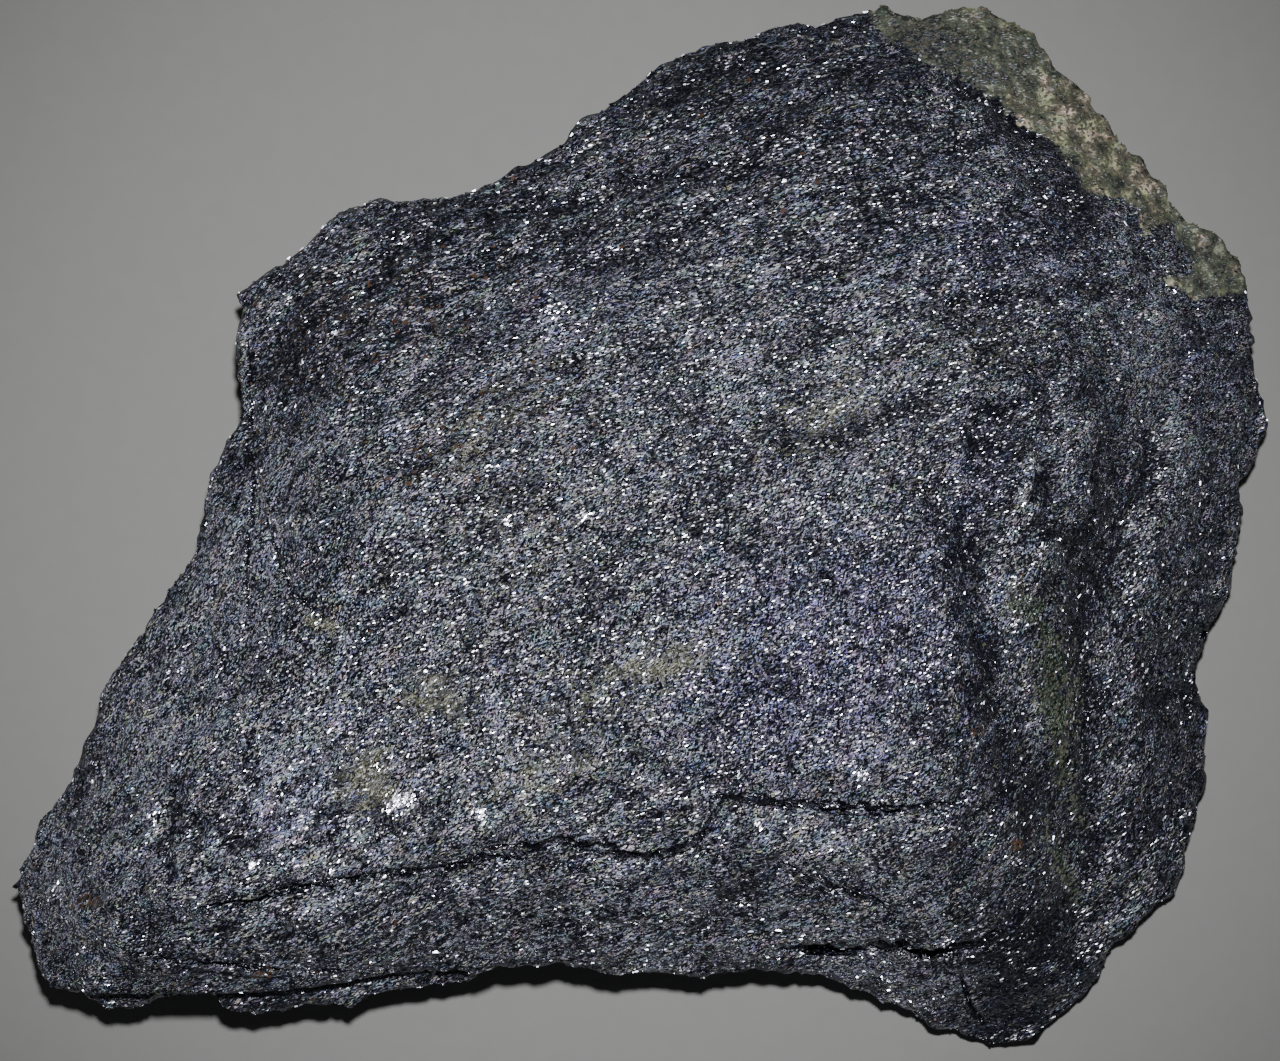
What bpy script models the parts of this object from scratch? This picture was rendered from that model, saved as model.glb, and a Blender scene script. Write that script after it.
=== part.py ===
"""A hand specimen of blueschist: one slab-like stone, broken along and across its layers.

The stone lies on a flat split face. Its upper side is a gently waved layer surface that falls
away to broken edges, with a lip and thin cracks along the front, a trough on the right, and a
pale band at the far right corner. All sizes below are in millimetres, X to the right, Y away
and Z up, with the origin on the table under the middle of the stone.
"""

import math
import random

import bmesh
import bpy
import numpy as np
from mathutils import Vector, noise
from mathutils.geometry import delaunay_2d_cdt

MM = 0.001

# How closely the surfaces are divided
EDGE_STEP = 2.4
TOP_STEP = 2.05
BASE_STEP = 7.0
POINT_CLEARANCE = 0.62  # share of a step kept free beside edges and cracks
POINT_SHAKE = 0.2  # share of a step by which points leave their pattern

# The stone's edge as it is seen from above, clockwise from the left corner
LEFT_EDGE = [
    (-63.2, -35.6), (-61.8, -33.2), (-60.0, -29.2), (-57.8, -25.2), (-55.6, -21.2),
    (-54.3, -17.4), (-51.8, -13.4), (-49.4, -9.4), (-47.0, -5.4), (-45.0, -1.0),
    (-43.9, 3.0), (-42.6, 6.8), (-41.0, 10.2), (-40.4, 12.5), (-40.7, 15.0), (-40.3, 18.0),
]
BACK_EDGE = [
    (-40.8, 23.6), (-39.4, 24.6), (-37.0, 26.4), (-34.0, 28.4), (-30.5, 30.8), (-28.8, 32.0),
    (-26.5, 32.7), (-20.0, 33.0), (-17.0, 33.8), (-14.8, 34.6), (-12.8, 35.8), (-10.0, 37.0),
    (-7.7, 39.0), (-5.5, 41.4), (-4.0, 43.0), (-1.2, 44.8), (1.5, 46.8), (4.0, 47.6),
    (6.5, 48.0), (10.0, 49.3), (14.0, 50.7), (16.0, 50.9), (22.0, 52.0),
]
BAND_EDGE = [
    (26.0, 51.7), (29.0, 52.0), (32.0, 52.3), (34.5, 52.4), (36.0, 51.8), (38.2, 50.2),
    (39.5, 48.5), (41.0, 46.8), (42.5, 45.5), (44.0, 43.8), (45.5, 42.6), (47.0, 40.5),
    (48.4, 38.9), (50.0, 37.2), (51.8, 35.2), (53.2, 33.2), (53.6, 31.8), (55.2, 31.2),
    (57.2, 30.0), (58.8, 28.2), (60.1, 26.5), (60.8, 24.0),
]
RIGHT_EDGE = [
    (61.0, 22.0), (61.2, 19.5), (61.5, 16.0), (62.4, 13.5), (63.0, 11.0), (62.2, 8.8),
    (60.3, 5.0), (60.0, 3.0), (60.3, 1.0), (59.5, -1.5), (59.2, -4.5), (58.5, -7.0),
    (57.2, -11.0), (56.0, -13.5), (55.5, -15.5), (56.3, -17.5), (56.8, -20.0), (56.8, -23.0),
    (56.4, -26.0), (55.0, -31.0), (53.8, -36.0), (52.0, -37.8), (50.0, -39.5), (47.8, -40.8),
    (46.8, -42.5), (45.8, -44.5), (44.2, -46.8), (43.0, -48.5), (41.0, -50.0), (39.0, -50.8),
    (37.8, -51.8),
]
FRONT_EDGE = [
    (36.5, -52.4), (33.1, -51.3), (30.3, -50.3), (28.2, -49.4), (27.8, -48.5), (25.8, -48.0),
    (22.9, -46.5), (19.4, -45.1), (16.9, -44.4), (12.4, -44.1), (9.8, -44.4), (7.9, -44.8),
    (4.7, -44.0), (2.8, -43.6), (-0.4, -44.3), (-4.8, -44.0), (-8.0, -43.5), (-12.0, -43.7),
    (-15.0, -43.7), (-18.0, -44.3), (-22.0, -44.9), (-26.5, -45.4), (-30.5, -46.3),
    (-35.9, -46.5), (-39.9, -46.5), (-44.2, -46.4), (-47.9, -46.6), (-51.0, -46.5),
    (-54.6, -46.4), (-56.0, -46.0), (-58.6, -45.5), (-59.9, -44.5), (-60.5, -42.7),
    (-61.6, -40.8), (-62.1, -38.4),
]
OUTLINE = LEFT_EDGE + BACK_EDGE + BAND_EDGE + RIGHT_EDGE + FRONT_EDGE

# Spot heights of the upper side: x, y, height above the table
RIM_HEIGHTS = [
    (-63.2, -35.6, 14.0), (-57.8, -25.2, 19.0), (-51.8, -13.4, 20.0), (-45.0, -1.0, 20.0),
    (-40.4, 12.5, 18.5), (-40.8, 23.6, 16.0), (-34.0, 28.4, 16.0), (-26.5, 32.7, 16.5),
    (-14.8, 34.6, 17.5), (-5.5, 41.4, 16.0), (4.0, 47.6, 15.0), (14.0, 50.7, 14.0),
    (24.0, 51.8, 12.5), (34.5, 52.4, 10.5), (42.5, 45.5, 11.5), (48.4, 38.9, 12.0),
    (53.4, 32.5, 12.0), (60.5, 25.2, 10.5), (61.5, 16.0, 10.0), (62.8, 11.0, 9.0),
    (60.2, 3.0, 9.5), (58.5, -7.0, 8.5), (55.5, -15.5, 8.0), (56.8, -22.0, 7.0),
    (53.8, -36.0, 6.0), (47.3, -41.5, 6.5), (43.0, -48.5, 5.5), (36.5, -52.4, 4.5),
    (29.0, -49.6, 7.0), (22.9, -46.5, 10.5), (16.9, -44.4, 13.5), (7.9, -44.8, 15.5),
    (-0.4, -44.3, 18.0), (-12.0, -43.7, 20.0), (-22.0, -44.9, 21.5), (-30.5, -46.3, 24.0),
    (-39.9, -46.5, 25.0), (-51.0, -46.5, 24.0), (-58.6, -45.5, 20.0), (-61.6, -40.8, 15.5),
]
FACE_HEIGHTS = [
    (-56.5, -34.0, 24.5), (-50.0, -26.0, 28.5), (-47.0, -38.0, 31.5), (-38.0, -32.0, 35.5),
    (-43.0, -14.0, 29.0), (-31.0, -16.0, 35.5), (-34.5, 4.0, 30.5), (-22.0, -26.0, 37.5),
    (-14.0, -12.0, 38.5), (-20.0, 8.0, 36.0), (-33.0, 18.0, 25.5), (-24.0, 24.5, 25.0),
    (-10.0, -29.0, 36.0), (0.0, -8.0, 39.0), (2.0, -29.0, 35.5), (-6.0, 13.0, 37.0),
    (-10.0, 28.0, 27.5), (6.0, 24.0, 33.5), (6.0, 39.0, 23.5), (16.0, -6.0, 39.0),
    (14.0, -23.0, 37.5), (18.0, 14.0, 36.0), (22.0, 30.0, 30.5), (22.0, 44.0, 22.0),
    (30.0, -8.0, 38.0), (29.5, -22.0, 36.5), (30.0, 6.0, 35.5), (37.0, 22.0, 30.0),
    (35.0, 36.0, 24.5), (47.0, 30.0, 20.0), (51.0, 20.0, 20.0), (43.0, 8.0, 29.5),
    (39.0, -4.0, 32.0), (40.0, -16.0, 28.5), (54.0, 6.0, 18.0), (51.0, -8.0, 17.5),
    (51.0, -22.0, 13.5), (48.5, -32.0, 11.5), (39.0, -28.0, 24.0), (37.0, -37.0, 18.5),
    (38.5, -45.0, 10.5), (30.0, -38.0, 24.0), (28.0, -44.5, 15.5), (14.0, -36.0, 28.0),
    (0.0, -37.0, 28.5), (-14.0, -37.5, 29.5), (-28.0, -39.0, 31.0),
]
SPOT_EASE = 2.0  # lets the surface pass a little beside a spot, so that it doesn't buckle

# Waves of the layers, from long to short: wavelength and height
WAVES = [(17.0, 0.9), (8.0, 0.55), (4.6, 0.4)]
WAVE_STRETCH = 1.6  # waves are longer along the stretching direction
WAVE_TURN = math.radians(14.0)
CHIP_LENGTH, CHIP_DEPTH = 4.2, 0.55
SEED = 11

# Soft terraces where a slope cuts the layers: their thickness, how flat they are (0 to 1) on
# the front slope and elsewhere, where the front slope begins, and how far the layers are bent
TERRACE_THICKNESS = 4.2
TERRACES_IN_FRONT, TERRACES_ELSEWHERE = 0.8, 0.3
FRONT_SLOPE = (-29.0, -35.0)
LAYER_BEND, LAYER_BEND_LENGTH = 2.6, 17.0

# How far the steps, troughs and cracks stray from their paths
STRAY, STRAY_LENGTH = 0.8, 6.5

# Coarser lumps near the left corner: the middle of the patch, its reach, lump length and height
LUMPS_AT, LUMPS_REACH = (-36.0, -29.0), (24.0, 10.0)
LUMP_LENGTH, LUMP_HEIGHT = 4.4, 0.8

# Soft steps, drawn with the lower side on the right of the path: path, drop, run, reach
SPOON_STEP = [
    (8.5, 20.5), (8.2, 16.5), (10.0, 13.0), (13.5, 10.6), (16.8, 10.0), (20.5, 11.4),
    (24.0, 12.6), (29.0, 13.3), (36.0, 13.6), (42.0, 14.6), (48.0, 15.4),
]
FOLD_STEP = [
    (20.0, 4.0), (19.6, -3.0), (17.2, -9.0), (13.5, -14.0), (8.0, -17.6), (1.0, -20.4),
    (-6.0, -24.6), (-9.0, -29.0),
]
BACK_STEP = [
    (-37.0, 9.5), (-27.0, 16.0), (-17.0, 19.6), (-8.0, 23.6), (-2.0, 31.0), (4.0, 36.0),
    (13.0, 39.6), (24.0, 43.0),
]
SIDE_STEP = [(29.0, 22.0), (38.0, 23.6), (46.0, 24.0), (54.0, 22.6)]
SOFT_STEPS = {
    "spoon": (SPOON_STEP, 1.5, 2.6, 13.0),
    "fold": (FOLD_STEP[::-1], 0.9, 2.4, 14.0),
    "back": (BACK_STEP[::-1], 1.0, 3.4, 14.0),
    "side": (SIDE_STEP, 0.8, 2.4, 9.0),
}

# Troughs and pits: path, depth, half width
INNER_TROUGH = [
    (30.5, 7.0), (32.6, 1.0), (34.2, -6.0), (35.4, -12.0), (36.6, -18.0), (39.0, -24.0),
    (42.0, -30.5),
]
OUTER_TROUGH = [
    (51.0, 13.0), (49.0, 6.0), (46.8, -3.0), (45.3, -11.0), (44.6, -19.0), (44.5, -27.0),
    (44.0, -34.0), (42.5, -41.0),
]
LEFT_CREASE = [(-38.6, 15.0), (-38.8, 6.0), (-38.4, 1.0), (-37.2, -3.5), (-34.6, -7.0)]
TIP_CREASE = [(32.0, -45.6), (33.6, -48.4), (35.2, -51.0)]
TROUGHS = {
    "inner": (INNER_TROUGH, 2.4, 2.3),
    "outer": (OUTER_TROUGH, 3.0, 2.9),
    "left crease": (LEFT_CREASE, 0.9, 1.5),
    "tip crease": (TIP_CREASE, 0.8, 1.2),
    "chip": ([(-34.6, -7.4), (-33.4, -7.0)], 0.7, 1.1),
    "crescent": ([(-26.6, -26.6), (-27.2, -28.8), (-25.4, -30.4)], 0.7, 1.0),
}
BLUNT_END = 0.3  # share of its depth that a trough still has at its ends

# Lips and cracks, drawn from left to right with the lower side in front:
# path, how far the front side drops, how far the crack bites below that, its width
FACE_LIP = [
    (-45.0, -37.5), (-39.0, -36.0), (-31.0, -34.2), (-24.0, -33.2), (-19.0, -32.5),
    (-14.0, -32.2), (-9.5, -30.8), (-7.8, -30.3), (-5.5, -31.2), (-3.0, -31.8), (0.5, -32.2),
    (2.8, -31.9), (5.0, -30.7), (6.0, -28.6), (7.8, -26.3), (12.0, -26.5), (16.0, -27.0),
    (21.0, -27.4), (26.0, -27.5), (31.0, -27.3),
]
SIDE_CRACK = [(12.4, -33.0), (14.3, -33.6), (17.5, -35.0), (21.7, -36.5), (25.8, -37.3)]
FRONT_CRACK = [
    (10.5, -40.6), (14.3, -41.2), (17.5, -41.6), (20.7, -41.6), (25.8, -41.1), (28.7, -41.7),
    (31.2, -41.7), (33.5, -41.2), (37.6, -40.1),
]
CORNER_CRACK = [
    (-50.2, -42.5), (-46.5, -42.3), (-43.0, -42.7), (-39.5, -42.8), (-35.9, -43.4),
    (-30.0, -43.5),
]
CRACKS = {
    "face lip": (FACE_LIP, 1.5, 0.6, 0.8),
    "side crack": (SIDE_CRACK, 0.6, 0.6, 0.7),
    "front crack": (FRONT_CRACK, 1.3, 1.4, 1.1),
    "corner crack": (CORNER_CRACK, 0.8, 0.8, 0.8),
}
CRACK_REACH = 5.5  # the dropped side meets the old surface again this far in front
TAPER = 5.0  # steps, troughs and cracks fade out over this length at each end

# The flat split face that the stone lies on
BASE = [
    (-37.0, -30.0), (-33.0, -14.0), (-26.0, 2.0), (-21.0, 14.0), (-8.0, 19.0), (5.0, 27.0),
    (20.0, 31.0), (33.0, 22.0), (40.0, 8.0), (39.0, -10.0), (36.0, -26.0), (24.0, -33.0),
    (8.0, -30.0), (-10.0, -31.0), (-26.0, -33.0),
]

# The broken sides, layer by layer from the edge down: share of the height at which each layer
# begins and ends, and how far the walls lean inwards for each millimetre down
LAYERS = [(0.05, 0.19), (0.23, 0.38), (0.42, 0.55), (0.60, 0.72), (0.77, 0.88)]
WALL_LEAN, LEAST_LEAN = 0.30, 0.05
LEAN_CHANGE, LEAN_LENGTH = 0.42, 24.0
LAYER_STEPS, THIN_LAYER_STEPS = 1.9, 0.16  # how far layers stand out: at most, share of height
STAND_BACK = 0.3  # the layers stand back more than out
LAYER_BREAK = 13.0  # along the edge, how often that changes
LAYER_UNEVEN, UNEVEN_LENGTH = 0.035, 6.5  # how unevenly thick the layers are
# Where the second layer stands out in front of the edge: middle, half length, how far
LOBES = [(-52.4, 5.0, 0.9), (-38.6, 7.5, 1.9), (-28.0, 6.0, 1.1), (-18.5, 6.0, 1.0)]
LOBE_LAYER = 1
LOBE_BLUNTNESS = 1.3
# The underside between the walls and the flat face: share of the way in, share of the height
UNDERSIDE = [(0.30, 0.050), (0.65, 0.018)]
UNDERSIDE_LUMPS, UNDERSIDE_LUMP_LENGTH = 0.6, 6.0

# The pale band's inner boundary, from the back edge to the right edge
BAND_LINE = [
    (22.5, 51.5), (25.6, 48.0), (31.2, 45.7), (34.6, 44.6), (38.2, 40.4), (43.3, 34.8),
    (49.5, 31.1), (53.7, 30.6), (55.1, 26.1), (53.7, 24.0), (61.0, 23.6),
]

# Colour, roughness
BLUESCHIST = ((0.085, 0.092, 0.115), 0.42)
PALE_BAND = ((0.23, 0.235, 0.185), 0.55)


def clear_scene():
    for old in list(bpy.data.objects):
        bpy.data.objects.remove(old)


def uneven(x, y, length, number):
    """A smooth random value around zero that changes over this length. Each number has its own."""
    return noise.noise(Vector((x / length, y / length, SEED + 7.3 * number)))


def divided(path, step):
    """The path with points no further apart than the step, its own corners kept."""
    points = []
    for (ax, ay), (bx, by) in zip(path, path[1:]):
        count = max(1, round(math.hypot(bx - ax, by - ay) / step))
        points += [(ax + (bx - ax) * i / count, ay + (by - ay) * i / count) for i in range(count)]
    return points + [path[-1]]


def resampled(path, step):
    """A closed path with its points one step apart."""
    corners = np.array(path + path[:1])
    along = np.concatenate([[0.0], np.cumsum(np.hypot(*np.diff(corners, axis=0).T))])
    places = np.linspace(0.0, along[-1], round(along[-1] / step), endpoint=False)
    return [(np.interp(s, along, corners[:, 0]), np.interp(s, along, corners[:, 1])) for s in places]


def moved_aside(path, distance):
    """The path moved to its right-hand side."""
    moved = []
    for i, (x, y) in enumerate(path):
        before = path[max(i - 1, 0)]
        after = path[min(i + 1, len(path) - 1)]
        along = Vector(after) - Vector(before)
        side = Vector((along.y, -along.x)).normalized() * distance
        moved.append((x + side.x, y + side.y))
    return moved


def beside(path, x, y):
    """Distance from the path, positive on its right-hand side, and distance from its nearer end."""
    best = (math.inf, 0.0, 0.0)
    passed = 0.0
    place = Vector((x, y))
    for a, b in zip(path, path[1:]):
        start = Vector(a)
        run = Vector(b) - start
        share = min(1.0, max(0.0, (place - start).dot(run) / run.length_squared))
        off = place - start - run * share
        if off.length < best[0]:
            best = (off.length, run.cross(off), passed + share * run.length)
        passed += run.length
    distance, turn, along = best
    return (-distance if turn > 0.0 else distance), min(along, passed - along)


def smooth(share):
    share = min(1.0, max(0.0, share))
    return share * share * (3.0 - 2.0 * share)


def inside(polygon, x, y):
    found = False
    for (ax, ay), (bx, by) in zip(polygon, polygon[1:] + polygon[:1]):
        if (ay > y) != (by > y) and x < (bx - ax) * (y - ay) / (by - ay) + ax:
            found = not found
    return found


def thin_plate(spots):
    """A smooth surface near the spots, as a bent thin plate takes them."""
    spots = np.array(spots)
    count = len(spots)

    def bend(x, y):
        squared = (x - spots[:, 0]) ** 2 + (y - spots[:, 1]) ** 2
        return 0.5 * squared * np.log(squared + 1e-9)

    system = np.zeros((count + 3, count + 3))
    for row, (x, y, _) in enumerate(spots):
        system[row, :count] = bend(x, y)
        system[row, row] += SPOT_EASE
        system[row, count:] = system[count:, row] = 1.0, x, y
    weights = np.linalg.solve(system, np.append(spots[:, 2], [0.0] * 3))

    def height(x, y):
        return float(bend(x, y) @ weights[:count] + weights[count:] @ (1.0, x, y))

    return height


plate = thin_plate(RIM_HEIGHTS + FACE_HEIGHTS)


def waves(x, y):
    """The uneven layers, stretched along one direction, with coarser lumps in one patch."""
    along = x * math.cos(WAVE_TURN) + y * math.sin(WAVE_TURN)
    across = y * math.cos(WAVE_TURN) - x * math.sin(WAVE_TURN)
    total = 0.0
    for number, (length, size) in enumerate(WAVES):
        total += size * uneven(along / WAVE_STRETCH, across, length, number)
    off = math.hypot((x - LUMPS_AT[0]) / LUMPS_REACH[0], (y - LUMPS_AT[1]) / LUMPS_REACH[1])
    return total + LUMP_HEIGHT * uneven(x, y, LUMP_LENGTH, 3) * (1.0 - smooth(off))


def crack_drop(x, y):
    """How far the ground in front of each lip lies lower."""
    total = 0.0
    for path, drop, _, width in CRACKS.values():
        distance, from_end = beside(path, x, y)
        if 0.5 * width < distance < CRACK_REACH:
            total += drop * (1.0 - smooth(distance / CRACK_REACH)) * smooth(from_end / TAPER)
    return total


def step_drop(x, y):
    """How far the ground on the lower side of each soft step lies lower."""
    total = 0.0
    for path, drop, run, reach in SOFT_STEPS.values():
        distance, from_end = beside(path, x, y)
        if 0.0 < distance < reach:
            settled = smooth(distance / run) * (1.0 - smooth(distance / reach))
            total += drop * settled * smooth(from_end / TAPER)
    return total


def trough_depth(x, y):
    total = 0.0
    for path, depth, half_width in TROUGHS.values():
        distance, from_end = beside(path, x, y)
        fade = smooth(BLUNT_END + from_end / TAPER)
        total += depth * fade * math.exp(-((distance / half_width) ** 2))
    return total


def terraced(x, y, height):
    """The height drawn towards the middle of the layer it lies in."""
    bend = LAYER_BEND * uneven(x, y, LAYER_BEND_LENGTH, 4)
    turn = 2.0 * math.pi * (height + bend) / TERRACE_THICKNESS
    start, end = FRONT_SLOPE
    in_front = smooth((y - start) / (end - start))
    flatness = TERRACES_ELSEWHERE + (TERRACES_IN_FRONT - TERRACES_ELSEWHERE) * in_front
    return height - flatness * TERRACE_THICKNESS / (2.0 * math.pi) * math.sin(turn)


def upper_height(x, y):
    """Height of the upper side above the table."""
    stray_x = x + STRAY * uneven(x, y, STRAY_LENGTH, 5)
    stray_y = y + STRAY * uneven(x, y, STRAY_LENGTH, 6)
    lower = crack_drop(x, y) + step_drop(stray_x, stray_y) + trough_depth(stray_x, stray_y)
    return terraced(x, y, plate(x, y) + waves(x, y)) - lower


def chipped(outline):
    """The outline with its small chips."""
    chips = []
    for x, y in outline:
        out = Vector((x, y)).normalized() * CHIP_DEPTH * uneven(x, y, CHIP_LENGTH, 7)
        chips.append((x + out.x, y + out.y))
    return chips


def hexagon_points(polygon, step, keep_clear):
    """Points in a shaken triangular pattern inside the polygon, clear of the given points."""
    random.seed(SEED)
    xs, ys = zip(*polygon)
    near = np.array(keep_clear)
    found = []
    rows = int((max(ys) - min(ys)) / (step * math.sqrt(0.75))) + 1
    columns = int((max(xs) - min(xs)) / step) + 1
    for row in range(rows):
        for column in range(columns):
            shake_x = random.uniform(-POINT_SHAKE, POINT_SHAKE)
            shake_y = random.uniform(-POINT_SHAKE, POINT_SHAKE)
            x = min(xs) + (column + 0.5 * (row % 2) + shake_x) * step
            y = min(ys) + (row * math.sqrt(0.75) + shake_y) * step
            clear = np.hypot(near[:, 0] - x, near[:, 1] - y).min() > POINT_CLEARANCE * step
            if clear and inside(polygon, x, y):
                found.append((x, y))
    return found


def triangles(polygon, lines, loose):
    """Triangles that fill the polygon, keep to the lines and use the loose points."""
    points = list(polygon)
    count = len(polygon)
    edges = [(i, (i + 1) % count) for i in range(count)]
    for line in lines:
        edges += [(len(points) + i, len(points) + i + 1) for i in range(len(line) - 1)]
        points += line
    points += loose
    made, _, faces, *_ = delaunay_2d_cdt([Vector(p) for p in points], edges, [], 1, 1e-4)
    if len(made) != len(points):
        raise ValueError("lines cross or touch: the triangles need every point once")
    return points, faces


def add_upper_side(mesh, outline):
    """The waved upper side with its cracks. Returns the vertices of its rim, in order."""
    lines, cuts = [], {}
    for path, drop, bite, width in CRACKS.values():
        lip = divided(path, EDGE_STEP)
        for share in (0.0, 0.5, 1.0):
            line = moved_aside(lip, share * width)
            if share == 0.5:
                for place in line:
                    _, from_end = beside(path, *place)
                    cuts[place] = (drop + bite) * smooth(from_end / TAPER)
            lines.append(line)
    fixed = outline + [place for line in lines for place in line]
    loose = hexagon_points(outline, TOP_STEP, fixed)
    points, faces = triangles(outline, lines, loose)
    made = [mesh.verts.new((x, y, upper_height(x, y) - cuts.get((x, y), 0.0))) for x, y in points]
    for face in faces:
        mesh.faces.new([made[i] for i in face])
    return made[: len(outline)]


def on_base(x, y):
    """Where the line from the middle to this place crosses the base's edge."""
    reach = Vector((x, y))
    for (ax, ay), (bx, by) in zip(BASE, BASE[1:] + BASE[:1]):
        side = Vector((bx - ax, by - ay))
        turn = reach.cross(side)
        if abs(turn) < 1e-9:
            continue
        along_ray = Vector((ax, ay)).cross(side) / turn
        along_side = Vector((ax, ay)).cross(reach) / turn
        if 0.0 <= along_side <= 1.0 and 0.0 < along_ray <= 1.0:
            return reach * along_ray
    raise ValueError(f"the base doesn't surround the middle at {x}, {y}")


def with_lobes(x, y, layer, inset):
    """The inset of a wall, or minus how far the layer stands out in front of the edge here."""
    if layer != LOBE_LAYER or y > 0.0:
        return inset
    for middle, half_length, far in LOBES:
        share = smooth(LOBE_BLUNTNESS * (1.0 - abs(x - middle) / half_length))
        inset += (-far - inset) * share
    return inset


def wall_place(corner, inward, layer, passed):
    """A point of the broken wall below this corner of the edge."""
    x, y, top = corner
    lean = WALL_LEAN + LEAN_CHANGE * uneven(x, y, LEAN_LENGTH, 8)
    step = min(LAYER_STEPS, THIN_LAYER_STEPS * top)
    step *= uneven(x, y, LAYER_BREAK, 10 + layer) + STAND_BACK
    inset = max(LEAST_LEAN, lean) * top * passed + step
    place = corner.xy + inward * with_lobes(x, y, layer, inset)
    height = top * (1.0 - passed + LAYER_UNEVEN * uneven(x, y, UNEVEN_LENGTH, 10 + layer))
    return Vector((place.x, place.y, height))


def side_rings(edge):
    """The rings of points from below the edge to the border of the flat face."""
    feet = [on_base(corner.x, corner.y) for corner in edge]
    inwards = [(foot - corner.xy).normalized() for foot, corner in zip(feet, edge)]
    rings = []
    for layer, span in enumerate(LAYERS):
        for passed in span:
            pairs = zip(edge, inwards)
            rings.append([wall_place(corner, inward, layer, passed) for corner, inward in pairs])
    lowest = rings[-1]
    for way_in, height_left in UNDERSIDE:
        ring = []
        for corner, wall, foot in zip(edge, lowest, feet):
            place = wall.xy.lerp(foot, way_in)
            lump = 1.0 + UNDERSIDE_LUMPS * uneven(place.x, place.y, UNDERSIDE_LUMP_LENGTH, 9)
            ring.append(Vector((place.x, place.y, corner.z * height_left * lump)))
        rings.append(ring)
    rings.append([foot.to_3d() for foot in feet])
    return rings


def add_sides(mesh, rim):
    """The broken sides, ring by ring down to the base. Returns the base's vertices."""
    above = rim
    for places in side_rings([vert.co.copy() for vert in rim]):
        ring = [mesh.verts.new(place) for place in places]
        for i in range(len(ring)):
            mesh.faces.new((above[i - 1], above[i], ring[i], ring[i - 1]))
        above = ring
    return above


def add_base(mesh, ring):
    """The flat split face, filled inside the last ring."""
    edge = [(vert.co.x, vert.co.y) for vert in ring]
    loose = hexagon_points(edge, BASE_STEP, edge)
    points, faces = triangles(edge, [], loose)
    made = list(ring) + [mesh.verts.new((x, y, 0.0)) for x, y in points[len(edge) :]]
    for face in faces:
        mesh.faces.new([made[i] for i in reversed(face)])


def material(name, finish):
    colour, roughness = finish
    made = bpy.data.materials.new(name)
    made.use_nodes = True
    shader = made.node_tree.nodes["Principled BSDF"]
    shader.inputs["Base Color"].default_value = (*colour, 1.0)
    shader.inputs["Roughness"].default_value = roughness
    return made


def in_band(place):
    """True beyond the pale band's boundary, towards the far right corner."""
    distance, _ = beside(BAND_LINE, place.x, place.y)
    return distance < 0.0 and place.x > BAND_LINE[0][0] and place.y > BAND_LINE[-1][1]


def add_rock():
    mesh = bmesh.new()
    rim = add_upper_side(mesh, chipped(resampled(OUTLINE, EDGE_STEP)))
    add_base(mesh, add_sides(mesh, rim))
    for face in mesh.faces:
        face.smooth = True
        face.material_index = int(in_band(face.calc_center_median()))
    bmesh.ops.recalc_face_normals(mesh, faces=mesh.faces)
    bmesh.ops.scale(mesh, vec=(MM, MM, MM), verts=mesh.verts)
    data = bpy.data.meshes.new("rock")
    mesh.to_mesh(data)
    mesh.free()
    data.set_sharp_from_angle(angle=math.radians(40.0))
    data.materials.append(material("blueschist", BLUESCHIST))
    data.materials.append(material("pale_band", PALE_BAND))
    rock = bpy.data.objects.new("rock", data)
    bpy.context.scene.collection.objects.link(rock)


clear_scene()
add_rock()
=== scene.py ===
import math

import bpy
import numpy as np
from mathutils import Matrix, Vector, noise


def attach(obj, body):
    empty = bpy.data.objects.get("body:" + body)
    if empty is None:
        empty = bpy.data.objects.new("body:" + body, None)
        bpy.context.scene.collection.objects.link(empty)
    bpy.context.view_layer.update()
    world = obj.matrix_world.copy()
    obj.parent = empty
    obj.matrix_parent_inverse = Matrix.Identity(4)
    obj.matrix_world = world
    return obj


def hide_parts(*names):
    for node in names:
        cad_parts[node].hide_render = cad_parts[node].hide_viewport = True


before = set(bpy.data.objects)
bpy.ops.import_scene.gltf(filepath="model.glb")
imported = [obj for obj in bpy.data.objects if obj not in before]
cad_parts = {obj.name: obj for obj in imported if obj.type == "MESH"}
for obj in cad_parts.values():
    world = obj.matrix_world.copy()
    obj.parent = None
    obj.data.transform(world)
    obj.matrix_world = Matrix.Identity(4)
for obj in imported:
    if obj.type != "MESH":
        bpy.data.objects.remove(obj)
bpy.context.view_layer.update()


# The table
# A plain pale grey board, painted matt, with the faint mottle of a rolled coat. The stone lies
# loose on it. It is only the stage and no part of the stone.

MM = 0.001


class Socket:
    """A shader socket on which Python's operators add Math nodes."""

    def __init__(self, tree, socket):
        self.tree, self.socket = tree, socket

    def _math(self, operation, first, second):
        node = self.tree.nodes.new("ShaderNodeMath")
        node.operation = operation
        for place, value in enumerate((first, second)):
            if isinstance(value, Socket):
                self.tree.links.new(value.socket, node.inputs[place])
            else:
                node.inputs[place].default_value = value
        return Socket(self.tree, node.outputs[0])

    def __add__(self, other):
        return self._math("ADD", self, other)

    def __radd__(self, other):
        return self._math("ADD", other, self)

    def __sub__(self, other):
        return self._math("SUBTRACT", self, other)

    def __rsub__(self, other):
        return self._math("SUBTRACT", other, self)

    def __mul__(self, other):
        return self._math("MULTIPLY", self, other)

    def __rmul__(self, other):
        return self._math("MULTIPLY", other, self)


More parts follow.
